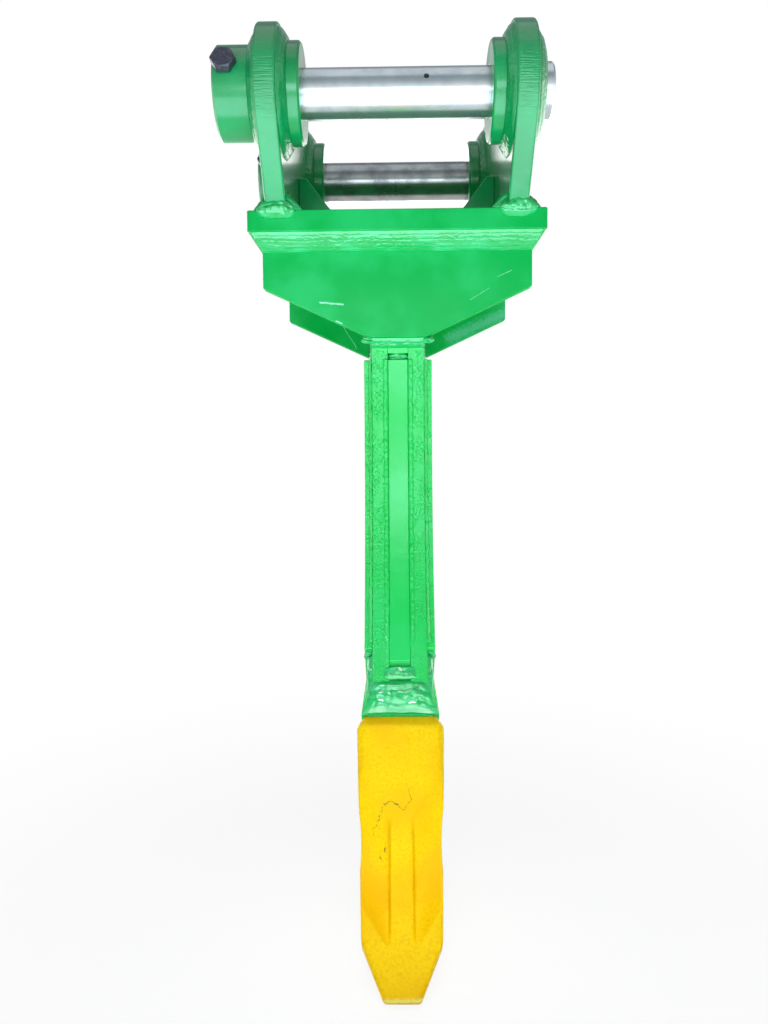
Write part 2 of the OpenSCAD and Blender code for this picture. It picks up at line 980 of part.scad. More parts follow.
// A shallow hollow in the right side of the tooth
module waist()
{
    r = (waist_len * waist_len / 4 + waist_depth * waist_depth) / (2 * waist_depth);
    run = tooth_len - chisel_len - rim_bevel_h;
    side_slope = atan((tooth_w - chisel_w) / 2 / run);
    translate([tooth_w / 2, 0, -rim_bevel_h])
        rotate([0, side_slope, 0])
            translate([r - waist_depth, 0, rim_bevel_h - waist_at])
                rotate([90, 0, 0])
                    cylinder(r = r, h = 2 * tooth_h, center = true, $fn = arc_fn);
}

module tooth()
{
    color(tooth_yellow)
        at_tooth()
            difference() {
                translate([0, 0, -rim_gap])
                    difference() {
                        tooth_blank();
                        for (x = [0, 1])
                            mirror([x, 0, 0]) {
                                waist();
                                for (y = [0, 1])
                                    mirror([0, y, 0])
                                        scoop();
                            }
                    }
                nose(nose_clearance);
                cross_hole(tooth_pin_d + 2 * tooth_pin_clearance);
            }
}

module tooth_pin()
{
    color(pin_steel)
        at_tooth()
            translate([-tooth_pin_l / 2, 0, -tooth_pin_at])
                rotate([0, 90, 0])
                    cylinder(d = tooth_pin_d, h = tooth_pin_l);
}

module tooth_pin_lock()
{
    color(bolt_steel)
        at_tooth()
            difference() {
                lock_pocket(0);
                cross_hole(tooth_pin_d + 2 * tooth_pin_clearance);
            }
}

ear(-1);  // ear_left
ear(1);  // ear_right
ear_rib(-1);  // ear_rib_left
ear_rib(1);  // ear_rib_right
boss(-1, bolted_reach, false);  // boss_front_left
boss(1, plain_reach, false);  // boss_front_right
boss(-1, bolted_reach, true);  // boss_rear_left
boss(1, plain_reach, true);  // boss_rear_right
pin(false);  // front_pin
pin(true);  // rear_pin
pin_bolt(false);  // front_pin_bolt
pin_bolt(true);  // rear_pin_bolt
pin_nut(false);  // front_pin_nut
pin_nut(true);  // rear_pin_nut
grease_nipple(false);  // front_grease_nipple
grease_nipple(true);  // rear_grease_nipple
top_plate();
gusset(gusset_front);  // front_gusset
gusset(shank_back);  // rear_gusset
shank_side_plate(-1);  // shank_side_plate_left
shank_side_plate(1);  // shank_side_plate_right
shank_centre_plate();
shank_spacer();
shank_doubler(-1);  // shank_doubler_left
shank_doubler(1);  // shank_doubler_right
tooth_adapter();
tooth();
tooth_pin();
tooth_pin_lock();
ear_weld(-1);  // ear_weld_left
ear_weld(1);  // ear_weld_right
boss_weld(-1, false);  // boss_weld_front_left
boss_weld(1, false);  // boss_weld_front_right
boss_weld(-1, true);  // boss_weld_rear_left
boss_weld(1, true);  // boss_weld_rear_right
gusset_welding(gusset_front, -1);  // gusset_weld_front
gusset_welding(gusset_back, 1);  // gusset_weld_rear
shank_welding(shank_front, 1);  // shank_weld_front
shank_welding(shank_back, -1);  // shank_weld_rear
shank_weld_top();
shank_seam_weld(-1);  // shank_seam_weld_left
shank_seam_weld(1);  // shank_seam_weld_right
doubler_weld(-1);  // doubler_weld_left
doubler_weld(1);  // doubler_weld_right
centre_plate_weld();
adapter_weld();
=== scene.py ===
"""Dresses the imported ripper: paint, weld beads, a cast tooth, a plain studio and the camera."""
import math

import bmesh
import bpy
from mathutils import Matrix, Vector, noise


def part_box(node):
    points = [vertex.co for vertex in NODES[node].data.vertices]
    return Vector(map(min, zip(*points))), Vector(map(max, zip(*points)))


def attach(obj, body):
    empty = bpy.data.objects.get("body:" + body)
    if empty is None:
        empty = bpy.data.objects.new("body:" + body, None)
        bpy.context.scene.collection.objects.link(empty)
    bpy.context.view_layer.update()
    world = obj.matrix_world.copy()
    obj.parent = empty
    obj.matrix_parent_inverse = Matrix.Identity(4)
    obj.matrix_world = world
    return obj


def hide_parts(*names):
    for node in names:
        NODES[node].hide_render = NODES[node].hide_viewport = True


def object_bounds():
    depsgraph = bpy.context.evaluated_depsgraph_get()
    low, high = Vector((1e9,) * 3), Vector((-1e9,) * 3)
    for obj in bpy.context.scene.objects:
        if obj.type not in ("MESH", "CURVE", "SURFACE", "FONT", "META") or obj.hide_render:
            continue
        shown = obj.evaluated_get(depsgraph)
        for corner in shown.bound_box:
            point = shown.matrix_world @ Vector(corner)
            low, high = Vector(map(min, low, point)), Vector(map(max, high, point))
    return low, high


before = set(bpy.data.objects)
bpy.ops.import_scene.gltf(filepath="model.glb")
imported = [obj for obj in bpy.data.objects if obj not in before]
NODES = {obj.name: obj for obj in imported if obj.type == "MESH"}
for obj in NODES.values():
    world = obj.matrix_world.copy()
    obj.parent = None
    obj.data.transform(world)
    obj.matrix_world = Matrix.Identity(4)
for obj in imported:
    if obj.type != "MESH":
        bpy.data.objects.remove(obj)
cad_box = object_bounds()

MM = 0.001

# The photograph's frame, and its camera as fitted to points measured on it
PHOTO_SIZE = (768, 1024)
FOCAL_PIXELS = 864.1
CAMERA_PLACE = Vector((-1.6, -826.7, -335.9)) * MM
CAMERA_PITCH = math.radians(3.72)
CAMERA_YAW = math.radians(-0.88)
CAMERA_ROLL = math.radians(-0.45)
SENSOR_MM = 36
NEAREST_VIEW = 10 * MM

# The tooth's own frame, as in the CAD source: its seat on the adapter and its forward tilt
TOOTH_SEAT = Vector((0, -20.8, -598.4)) * MM
TOOTH_TILT = math.radians(44)
TOOTH_UP = Vector((0, math.sin(TOOTH_TILT), math.cos(TOOTH_TILT)))
TOOTH_FRONT = Vector((0, -math.cos(TOOTH_TILT), math.sin(TOOTH_TILT)))

# The slope of the tooth's front face and a point on it, in mm in the tooth's frame
FACE_LENGTH = 226
FACE_FALL = 38
TOOTH_FACE = (TOOTH_FRONT * FACE_LENGTH - TOOTH_UP * FACE_FALL).normalized()
TOOTH_FACE_POINT = (0, 44, -2)
REARWARD = Vector((0, 1, 0))

# The step from a boss down to its outer collar, as in the CAD source
COLLAR_STEP = 3 * MM

# Paint colours, as linear values
HEAD_GREEN = (0.001, 0.430, 0.072)
HEAD_GREEN_WORN = (0.018, 0.530, 0.125)
# The ears, their bosses and ribs and the ring welds take a darker copy of the head's green: painted shade
SHADED_EAR_GREEN = (0.002, 0.300, 0.080)
SHADED_EAR_GREEN_WORN = (0.010, 0.380, 0.115)
# The shank takes a lighter copy of the head's green: painted light
LIT_SHANK_GREEN = (0.008, 0.600, 0.090)
LIT_SHANK_GREEN_WORN = (0.025, 0.640, 0.130)
WELD_GREEN = (0.006, 0.470, 0.105)
WELD_GREEN_WORN = (0.030, 0.570, 0.190)
SCRATCH_PALE = (0.480, 0.850, 0.620)
# A pale patch on the rear gusset's lower right face: partly dust, partly a painted sheen
DUSTY_SHEEN_GREEN = (0.120, 0.580, 0.300)
SCRATCH_DARK = (0.120, 0.080, 0.020)
TOOTH_YELLOW = (0.960, 0.585, 0.001)
TOOTH_ORANGE = (0.930, 0.480, 0.001)
TOOTH_GRAIN = (0.900, 0.460, 0.001)
# The pale yellow along the tooth's tip: its worn edge, lightened as a painted highlight
WORN_TIP_HIGHLIGHT_YELLOW = (0.990, 0.860, 0.160)
PIN_SILVER = (0.600, 0.625, 0.640)
PIN_GREY = (0.480, 0.510, 0.540)
# The rear pin's steel is darker: partly an older, oily pin, partly painted shade from the front pin and
# the plate
OLD_SHADED_PIN_SILVER = (0.380, 0.390, 0.390)
OLD_SHADED_PIN_GREY = (0.220, 0.230, 0.240)
BOLT_DARK = (0.075, 0.068, 0.098)
BOLT_WORN = (0.140, 0.130, 0.160)

# The slot name handed with every piece that is painted green
GREEN_SLOT = "green_paint"

# White walls, a grey ceiling that only reflections show, and a pale floor
WHITE = (1, 1, 1, 1)
CEILING_GREY = (0.32, 0.38, 0.42, 1)
CEILING_START = 0.15
CEILING_FULL = 0.7
AMBIENT_TINT = (0.92, 0.96, 1, 1)
AMBIENT_STRENGTH = 0.08
FLOOR_PALE = (0.86, 0.86, 0.86, 1)
FLOOR_GLOW = 0.86
FLOOR_FADE = 0.8
FLOOR_HALF = 6.0
FLOOR_DROP = 0.4 * MM
GROUND_TINT = (0.64, 0.93, 1)
GROUND_LAMP_RISE = 10 * MM

# Marks, each as two pixels of the photograph and a half width: scratches, a pale patch that is partly
# dust and partly a painted sheen, and a painted highlight along the tooth's worn tip
FRONT_GUSSET_MARKS = [
    ((320, 302.5), (343, 304.5), 1.3 * MM),
    ((497, 277), (512, 270), 0.25 * MM),
    ((470, 300), (489, 288), 0.2 * MM),
    ((336, 321), (342, 323.5), 0.8 * MM),
]
REAR_GUSSET_MARKS = [
    ((341.7, 323.3), (348.3, 335), 0.45 * MM),
    ((348.3, 335), (355, 345), 0.45 * MM),
    ((355, 345), (356.7, 349), 0.45 * MM),
]
# The pale patch on the rear gusset: partly dust, partly a painted sheen
REAR_GUSSET_DUST_AND_SHEEN = [((450, 338), (508, 312), 10 * MM)]
TOOTH_MARKS = [
    ((385, 803), (397, 805), 1.5 * MM),
    ((397, 805), (403, 809), 0.6 * MM),
    ((403, 809), (410, 801), 0.55 * MM),
    ((410, 801), (410, 791), 0.55 * MM),
    ((384, 806), (378, 820), 0.6 * MM),
    ((377, 823), (372, 832), 0.5 * MM),
    ((379, 850), (381, 858), 0.65 * MM),
    ((386, 846), (384, 851), 0.55 * MM),
    ((433, 757), (433.5, 758), 0.7 * MM),
    ((437.5, 959), (436.5, 964), 0.7 * MM),
]
# A painted highlight along the worn edge of the tooth's tip
WORN_TIP_HIGHLIGHT = [((387, 1002), (421, 1002), 3 * MM)]
REAR_PIN_MARKS = [((395, 176), (395.6, 200), 0.35 * MM)]

# How far a mark reaches from its plane: on a plate's front face alone, a curved face or the tip
PLATE_REACH = 3 * MM
CURVE_REACH = 16 * MM
TIP_REACH = 8 * MM

# Marks: the length of their waves, the size of their ragged edge, and in half widths how
# ragged they are, where they end and where they are full
MARK_WAVE = 7 * MM
MARK_GRAIN = 2.5 * MM
MARK_RAGGED = 1.4
MARK_END = 1.7
MARK_FULL = 0.8

# Heights between which flame-cut lines show, on the lobes of the ears or everywhere, and their fade
LOBE_CUT = (-28 * MM, 12 * MM)
EVERY_HEIGHT = (-1, 1)
CUT_FADE = 15 * MM

# Cut edges: the cosine below which a surface isn't the face of a plate, and their added roughness
FACE_COSINE = 0.5
MATT_EXTRA = 0.5

# Mesh detail
MERGE = 0.005 * MM
FLAT = math.radians(0.4)
SHARP = math.radians(28)
EDGE_SEGMENTS = 3
TOOTH_VOXEL = 1.3 * MM
TOOTH_SMOOTHING = 6

# How far edges are rounded
GUSSET_EDGE = 0.9 * MM
PLATE_EDGE = 1.1 * MM
EAR_EDGE = 2.6 * MM
RIB_EDGE = 1.1 * MM
BOSS_EDGE = 1.1 * MM
SIDE_PLATE_EDGE = 0.8 * MM
CENTRE_PLATE_EDGE = 0.8 * MM
DOUBLER_EDGE = 1.2 * MM
ADAPTER_EDGE = 1.5 * MM

# Weld meshes: the steps along a run, and lengths over which its passes stray, wander and swell
BEAD_STEP = 0.8 * MM
END_STEP = 0.5 * BEAD_STEP
CROSS_STEP = 0.6 * BEAD_STEP
STRAY_LENGTH = 22 * MM
WANDER_LENGTH = 9 * MM
SWELL_LENGTH = 14 * MM
SWELL = 0.05
PASS_WIDTH = 7.5 * MM

# Ripples: their lag behind the pass beside, their bow and their jitter, as shares of the pitch
RIPPLE_LAG = 0.37
RIPPLE_BOW = 0.55
RIPPLE_JITTER = 0.5

# The crown of a pass, as a mean share and its swing, and how steeply a weld's face starts at its edges
CROWN_MEAN = 0.8
CROWN_SWING = 0.5
EDGE_STEEPNESS = 6

# Uneven weld metal: the share and the scale of its finer lumps
FINE_SHARE = 0.4
FINE_SCALE = 2.7

# How full a weld's face is, as a share of its leg
FILLET_FULL = 0.06
RING_FULL = 0.05
TOE_FULL = 0.1

# The ends of a gusset weld: the length that fans out, and how much of the plate's overhang it fills
FAN_LENGTH = 60 * MM
FAN_SHARE = 0.75

# A short weld: how its girth dies away, its least girth, its slant, and the shares of its lower half
END_TAPER = 2.6
END_BLUNT = 0.6
END_LEAST = 0.02
END_SLANT = 0.14
END_FLARE = 1.08
END_DROP = 0.85
END_ROOT = 0.4

# The lump at the foot of an ear: its reach past the ear in legs, and its bulge as a share of its rise
FOOT_REACH = 0.7
FOOT_BULGE = 0.55

# The lumps at a gusset's toe, placed out, forward and up from its corner in legs
TOE_LUMP = Vector((6, 4, 2)) * MM
TOE_OUT = 0.4
TOE_FORWARD = 0.6
TOE_UP = -0.2

# The weld metal in the slot above the centre plate
SLOT_RECESS = 5 * MM
SLOT_BULGE = 1.5 * MM
SLOT_SHARE = 0.8

# The welds across the adapter in the tooth's frame: half width, front and up, then bulge and sag, in mm
FRONT_JOINT = {"top": (26.5, 43.6, 31), "bottom": (35.5, 35.6, 1), "root": (28, 32, 17)}
BACK_JOINT = {"top": (26.5, -36, 31), "bottom": (35, -36, 9), "root": (28, -30, 20)}
CENTRE_END = {"top": (15, 46.2, 45), "bottom": (16, 43.8, 32), "root": (15, 38, 38)}
FRONT_BULGE = 3.2
BACK_BULGE = 4
CENTRE_BULGE = 1.6
JOINT_SAG = 1.2

# The runs down the adapter's cheeks and the blobs at their upper ends, in mm in the tooth's frame
CHEEK_HALF = 26
CHEEK_FRONT = 38
CHEEK_BACK = -36
CHEEK_LOW = 18
CHEEK_HIGH = 59
BLOB_HALF = 30
BLOB_FRONT = 36.5
BLOB_BACK = -36
BLOB_UP = 62

# The sizes of those runs and blobs
CHEEK_LEG_OUT = 5.5 * MM
CHEEK_LEG_DEEP = 4.5 * MM
CHEEK_BULGE = 0.6 * MM
BLOB = Vector((4.5, 5, 3)) * MM


# Camera and studio


def camera_axes():
    """The camera's right, up and forward directions."""
    forward = Vector((
        math.sin(CAMERA_YAW) * math.cos(CAMERA_PITCH),
        math.cos(CAMERA_YAW) * math.cos(CAMERA_PITCH),
        -math.sin(CAMERA_PITCH),
    ))
    level = Vector((math.cos(CAMERA_YAW), -math.sin(CAMERA_YAW), 0))
    upright = level.cross(forward)
    right = math.cos(CAMERA_ROLL) * level + math.sin(CAMERA_ROLL) * upright
    up = math.cos(CAMERA_ROLL) * upright - math.sin(CAMERA_ROLL) * level
    return right, up, forward


def add_camera():
    right, up, forward = camera_axes()
    data = bpy.data.cameras.new("camera")
    data.sensor_width = SENSOR_MM
    data.lens = FOCAL_PIXELS / max(PHOTO_SIZE) * SENSOR_MM
    data.clip_start = NEAREST_VIEW
    obj = bpy.data.objects.new("camera", data)
    turn = Matrix((right, up, -forward)).transposed().to_4x4()
    obj.matrix_world = Matrix.Translation(CAMERA_PLACE) @ turn
    bpy.context.scene.collection.objects.link(obj)
    bpy.context.scene.camera = obj


def photo_point(pixel, point, normal):
    """Where the ray through a pixel of the photograph meets the plane at point."""
    right, up, forward = camera_axes()
    x, y = pixel[0] - PHOTO_SIZE[0] / 2, pixel[1] - PHOTO_SIZE[1] / 2
    ray = x * right - y * up + FOCAL_PIXELS * forward
    return CAMERA_PLACE + ray * ((point - CAMERA_PLACE).dot(normal) / ray.dot(normal))


def marks_on(marks, point, normal, reach):
    """Marks laid on the plane at point, as (start, end, half width, normal, reach)."""
    return [
        (photo_point(a, point, normal), photo_point(b, point, normal), width, normal, reach)
        for a, b, width in marks
    ]


def marks_in_front(marks, node, reach):
    """Marks laid on the upright plane at the front of a CAD node."""
    return marks_on(marks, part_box(node)[0], REARWARD, reach)


def add_light(name, place, aim, size, power, tint=(1, 1, 1), spread=180):
    data = bpy.data.lights.new(name, "AREA")
    data.shape = "RECTANGLE"
    data.size, data.size_y = size
    data.energy = power
    data.color = tint
    data.spread = math.radians(spread)
    obj = bpy.data.objects.new(name, data)
    obj.location = place
    obj.rotation_euler = (Vector(aim) - Vector(place)).to_track_quat("-Z", "Y").to_euler()
    obj.visible_camera = False
    bpy.context.scene.collection.objects.link(obj)


def link(tree, source, target):
    tree.links.new(source, target)


def math_node(tree, operation, first, second, clamp=False):
    node = tree.nodes.new("ShaderNodeMath")
    node.operation = operation
    node.use_clamp = clamp
    for socket, value in zip(node.inputs, (first, second)):
        if isinstance(value, (int, float)):
            socket.default_value = value
        else:
            link(tree, value, socket)
    return node.outputs[0]


def seen_rays(tree):
    """1 on rays from the camera, off glossy surfaces and through glass, and 0 on the rest."""
    path = tree.nodes.new("ShaderNodeLightPath")
    glossy = math_node(tree, "MAXIMUM", path.outputs["Is Camera Ray"], path.outputs["Is Glossy Ray"])
    return math_node(tree, "MAXIMUM", glossy, path.outputs["Is Transmission Ray"])


def overhead(tree):
    """0 on the walls and 1 on the ceiling."""
    coords = tree.nodes.new("ShaderNodeTexCoord")
    split = tree.nodes.new("ShaderNodeSeparateXYZ")
    link(tree, coords.outputs["Generated"], split.inputs[0])
    ramp = tree.nodes.new("ShaderNodeMapRange")
    ramp.interpolation_type = "SMOOTHSTEP"
    ramp.inputs["From Min"].default_value = CEILING_START
    ramp.inputs["From Max"].default_value = CEILING_FULL
    link(tree, split.outputs["Z"], ramp.inputs["Value"])
    return ramp.outputs["Result"]


def add_world():
    """White to the camera; reflections show white walls and a grey ceiling."""
    world = bpy.data.worlds.new("studio")
    world.use_nodes = True
    tree = world.node_tree
    tree.nodes.clear()
    ambient = tree.nodes.new("ShaderNodeBackground")
    ambient.inputs["Color"].default_value = AMBIENT_TINT
    ambient.inputs["Strength"].default_value = AMBIENT_STRENGTH
    room = tree.nodes.new("ShaderNodeMix")
    room.data_type = "RGBA"
    room.inputs[6].default_value = WHITE
    room.inputs[7].default_value = CEILING_GREY
    path = tree.nodes.new("ShaderNodeLightPath")
    indoors = math_node(tree, "SUBTRACT", overhead(tree), path.outputs["Is Camera Ray"], clamp=True)
    link(tree, indoors, room.inputs["Factor"])
    white = tree.nodes.new("ShaderNodeBackground")
    link(tree, room.outputs[2], white.inputs["Color"])
    mix = tree.nodes.new("ShaderNodeMixShader")
    out = tree.nodes.new("ShaderNodeOutputWorld")
    link(tree, seen_rays(tree), mix.inputs[0])
    link(tree, ambient.outputs[0], mix.inputs[1])
    link(tree, white.outputs[0], mix.inputs[2])
    link(tree, mix.outputs[0], out.inputs["Surface"])
    bpy.context.scene.world = world


def floor_material():
    """Pale and shadowed near the object, and white to the camera farther out."""
    material = bpy.data.materials.new("floor")
    material.use_nodes = True
    tree = material.node_tree
    tree.nodes.clear()
    diffuse = tree.nodes.new("ShaderNodeBsdfDiffuse")
    diffuse.inputs["Color"].default_value = FLOOR_PALE
    glow = tree.nodes.new("ShaderNodeEmission")
    glow.inputs["Color"].default_value = WHITE
    coords = tree.nodes.new("ShaderNodeTexCoord")
    length = tree.nodes.new("ShaderNodeVectorMath")
    length.operation = "LENGTH"
    link(tree, coords.outputs["Object"], length.inputs[0])
    share = tree.nodes.new("ShaderNodeMapRange")
    share.interpolation_type = "SMOOTHSTEP"
    share.inputs["From Max"].default_value = FLOOR_FADE
    share.inputs["To Min"].default_value = FLOOR_GLOW
    link(tree, length.outputs["Value"], share.inputs["Value"])
    fac = math_node(tree, "MULTIPLY", share.outputs["Result"], seen_rays(tree))
    mix = tree.nodes.new("ShaderNodeMixShader")
    out = tree.nodes.new("ShaderNodeOutputMaterial")
    link(tree, fac, mix.inputs[0])
    link(tree, diffuse.outputs[0], mix.inputs[1])
    link(tree, glow.outputs[0], mix.inputs[2])
    link(tree, mix.outputs[0], out.inputs["Surface"])
    return material


def add_floor():
    low, high = cad_box
    middle = Vector(((low.x + high.x) / 2, (low.y + high.y) / 2, low.z - FLOOR_DROP))
    corners = [(x * FLOOR_HALF, y * FLOOR_HALF, 0) for x, y in ((-1, -1), (1, -1), (1, 1), (-1, 1))]
    obj = mesh_object("floor", corners, [(0, 1, 2, 3)], floor_material())
    obj.location = middle


# Meshes


def mesh_object(name, verts, faces, material):
    mesh = bpy.data.meshes.new(name)
    mesh.from_pydata(verts, [], faces)
    mesh.update()
    mesh.materials.append(material)
    mesh.shade_smooth()
    obj = bpy.data.objects.new(name, mesh)
    bpy.context.scene.collection.objects.link(obj)
    return obj


def stand_for(obj, slot, *names):
    """The piece rides with the part and is shown in place of these CAD nodes."""
    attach(obj, "root")
    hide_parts(*names)


def merged_copy(name):
    """A bmesh of a CAD node with its split corners joined and its flat faces whole."""
    mesh = NODES[name].data
    clean = bpy.data.meshes.new(name + "_copy")
    clean.from_pydata([v.co for v in mesh.vertices], [], [p.vertices for p in mesh.polygons])
    bm = bmesh.new()
    bm.from_mesh(clean)
    bpy.data.meshes.remove(clean)
    bmesh.ops.remove_doubles(bm, verts=bm.verts, dist=MERGE)
    bmesh.ops.dissolve_limit(bm, angle_limit=FLAT, verts=bm.verts, edges=bm.edges)
    bmesh.ops.recalc_face_normals(bm, faces=bm.faces)
    return bm


def object_from(bm, name, material):
    mesh = bpy.data.meshes.new(name)
    bm.to_mesh(mesh)
    bm.free()
    mesh.materials.append(material)
    mesh.shade_smooth()
    obj = bpy.data.objects.new(name, mesh)
    bpy.context.scene.collection.objects.link(obj)
    return obj


def rounded(name, material, edge):
    """Shows a CAD node with its sharp edges rounded by edge."""
    bm = merged_copy(name)
    sharp = [e for e in bm.edges if len(e.link_faces) == 2 and e.calc_face_angle() > SHARP]
    bmesh.ops.bevel(
        bm, geom=sharp, offset=edge, offset_type="OFFSET", segments=EDGE_SEGMENTS, profile=0.5,
        affect="EDGES", clamp_overlap=True,
    )
    obj = object_from(bm, name + "_finished", material)
    obj.modifiers.new("normals", "WEIGHTED_NORMAL")
    stand_for(obj, GREEN_SLOT, name)


def keep_node(name, material):
    """Shows a CAD node as it is, with a better material."""
    for slot in NODES[name].material_slots:
        slot.material = material


# Weld beads


class Bead:
    """How one weld run looks: passes side by side, and the ripples along each of them.

    crown, ripple, pitch, rough and grain are in mm, stray is in passes, and across is the number
    of faces across a pass.
    """

    def __init__(self, passes, crown, ripple, pitch, rough, seed, stray=0.35, across=9, grain=3):
        self.passes = passes
        self.stray = stray
        self.crown = crown * MM
        self.ripple = ripple * MM
        self.pitch = pitch * MM
        self.rough = rough * MM
        self.seed = seed
        self.across = across * passes
        self.grain = grain * MM

    def height(self, t, along):
        """How far the face stands out at t across the run and at that length along it."""
        shift = self.stray * noise.noise((along / STRAY_LENGTH, t * 2, self.seed + 3.3)) * t * (1 - t) * 4
        place = min(max(t * self.passes + shift, 0), self.passes - 1e-6)
        lane = int(place)
        u = 2 * (place - lane) - 1
        wander = noise.noise((along / WANDER_LENGTH, lane * 3.1, self.seed))
        phase = along / self.pitch + RIPPLE_LAG * lane + RIPPLE_BOW * u * u + RIPPLE_JITTER * wander
        wave = 0.5 - 0.5 * math.cos(2 * math.pi * phase)
        pass_crown = self.crown * (1 - u * u) * (CROWN_MEAN + CROWN_SWING * wander)
        across = t * self.passes * PASS_WIDTH
        grit = noise.noise((along / self.grain, across / self.grain, self.seed + 7.7))
        fade = min(1, EDGE_STEEPNESS * t * (1 - t))
        return fade * (pass_crown + self.ripple * wave * (1 - u ** 4) + self.rough * grit)


def bead_mesh(rows, bead, full, closed=False):
    """Vertices and faces of a bead; each row is (edge, other edge, root, outward, length along)."""
    verts, faces = [], []
    n = bead.across
    for first, last, root, out, along in rows:
        for j in range(n + 1):
            t = j / n
            lift = full * 4 * t * (1 - t) + bead.height(t, along)
            verts.append(first.lerp(last, t) + out * lift)
        verts.append(root)
    per_row = n + 2
    count = len(rows)
    for i in range(count if closed else count - 1):
        a, b = i * per_row, ((i + 1) % count) * per_row
        for j in range(n + 1):
            faces.append((a + j, a + j + 1, b + j + 1, b + j))
        faces.append((a + n + 1, a, b, b + n + 1))
    if not closed:
        faces.append(tuple(range(per_row)))
        faces.append(tuple(range((count - 1) * per_row, count * per_row)))
    return verts, faces


def bead_rows(points, leg_a, leg_b, lengths):
    """Rows of a fillet; each point is (root, direction of leg a, direction of leg b)."""
    rows = []
    for (root, a, b), along in zip(points, lengths):
        swell = 1 + SWELL * noise.noise((along / SWELL_LENGTH, leg_a * 900, 2.2))
        out = (a / leg_a + b / leg_b).normalized()
        rows.append((root + a * leg_a * swell, root + b * leg_b * swell, root, out, along))
    return rows


def straight(start, end, a, b, leg_a, leg_b):
    """Rows of a straight fillet from start to end."""
    run = end - start
    count = max(2, round(run.length / BEAD_STEP))
    points = [(start + run * (i / count), a, b) for i in range(count + 1)]
    return bead_rows(points, leg_a, leg_b, [run.length * i / count for i in range(count + 1)])


def ring(centre, radius, along_x, leg_out, leg_along):
    """Rows of a fillet round a boss whose axis lies along X."""
    around = 2 * math.pi * radius
    count = round(around / BEAD_STEP)
    points = []
    for i in range(count):
        angle = 2 * math.pi * i / count
        spoke = Vector((0, math.cos(angle), math.sin(angle)))
        points.append((centre + spoke * radius, spoke, Vector((along_x, 0, 0))))
    return bead_rows(points, leg_out, leg_along, [around * i / count for i in range(count)])


def join_parts(parts):
    verts, faces = [], []
    for v, f in parts:
        start = len(verts)
        verts.extend(v)
        faces.extend(tuple(i + start for i in face) for face in f)
    return verts, faces


def weld_object(node, parts, material):
    """One weld piece from several runs, shown in place of its CAD node."""
    verts, faces = join_parts(parts)
    obj = mesh_object(node + "_bead", verts, faces, material)
    bm = bmesh.new()
    bm.from_mesh(obj.data)
    bmesh.ops.recalc_face_normals(bm, faces=bm.faces)
    bm.to_mesh(obj.data)
    bm.free()
    stand_for(obj, GREEN_SLOT, node)


def gusset_weld(node, facing, material, seed):
    """The wide weld of several passes between the plate and a gusset, fanned out at its ends."""
    low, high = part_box(node)
    leg_y, leg_z = high.y - low.y, high.z - low.z
    y = high.y if facing < 0 else low.y
    start, end = Vector((low.x, y, high.z)), Vector((high.x, y, high.z))
    rows = straight(start, end, Vector((0, facing, 0)), Vector((0, 0, -1)), leg_y, leg_z)
    fan = FAN_SHARE * (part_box("top_plate")[1].x - high.x)
    for edge, *_ in rows:
        past = max(0, abs(edge.x) - high.x + FAN_LENGTH) / FAN_LENGTH
        edge.x += math.copysign(fan * past * past, edge.x)
    bead = Bead(passes=5, crown=0.22, ripple=0.1, pitch=12, rough=0.2, seed=seed)
    weld_object(node, [bead_mesh(rows, bead, FILLET_FULL * leg_y)], material)


def boss_weld(node, boss, ear, material, seed):
    """A ring weld on each face of the ear, round one boss."""
    low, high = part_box(node)
    boss_low, boss_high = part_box(boss)
    ear_low, ear_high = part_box(ear)
    side = 1 if ear_low.x > 0 else -1
    outer_face, inner_face = (ear_high.x, ear_low.x) if side > 0 else (ear_low.x, ear_high.x)
    along = abs(high.x - outer_face) if side > 0 else abs(low.x - outer_face)
    boss_r = (boss_high.z - boss_low.z) / 2
    leg = (high.z - low.z) / 2 - boss_r
    collar_r = boss_r - COLLAR_STEP
    y = (low.y + high.y) / 2
    bead = Bead(passes=2, crown=0.35, ripple=0.16, pitch=4.5, rough=0.3, seed=seed)
    parts = []
    for face, radius, way in ((outer_face, collar_r, side), (inner_face, boss_r, -side)):
        rows = ring(Vector((face, y, 0)), radius, way, leg, along)
        parts.append(bead_mesh(rows, bead, RING_FULL * leg, closed=True))
    weld_object(node, parts, material)


def end_bead(centre, half, out, seed):
    """A short weld over an edge; half holds its half length along X, its rise and its bulge."""
    count = round(2 * half.x / END_STEP)
    rows = []
    for i in range(count + 1):
        u = -1 + 2 * i / count
        girth = max(END_LEAST, 1 - abs(u) ** END_TAPER) ** END_BLUNT
        slant = END_SLANT * noise.noise((u * 1.4, seed, 0.5))
        top = centre + Vector((half.x * u, 0, half.y * girth * (1 + slant)))
        drop = centre + Vector((half.x * u * END_FLARE, 0, -half.y * girth * (END_DROP - slant)))
        root = centre + Vector((half.x * u, 0, 0)) - out * half.z * END_ROOT
        rows.append((top, drop, root, out, half.x * u))
    bead = Bead(
        passes=2, crown=1.4, ripple=0.5, pitch=9, rough=2.2, seed=seed, stray=0.9, across=14, grain=5,
    )
    return rows_with_bulge(rows, bead, half.z)


def rows_with_bulge(rows, bead, bulge):
    """A bead whose bulge dies away at its two ends."""
    verts, faces = bead_mesh(rows, bead, bulge)
    per_row = bead.across + 2
    last = len(rows) - 1
    for i, (first, end, *_) in enumerate(rows):
        u = -1 + 2 * i / last
        keep = max(0, 1 - abs(u) ** 3) ** 0.5
        for j in range(bead.across + 1):
            flat = first.lerp(end, j / bead.across)
            k = i * per_row + j
            verts[k] = flat + (verts[k] - flat) * keep
    return verts, faces


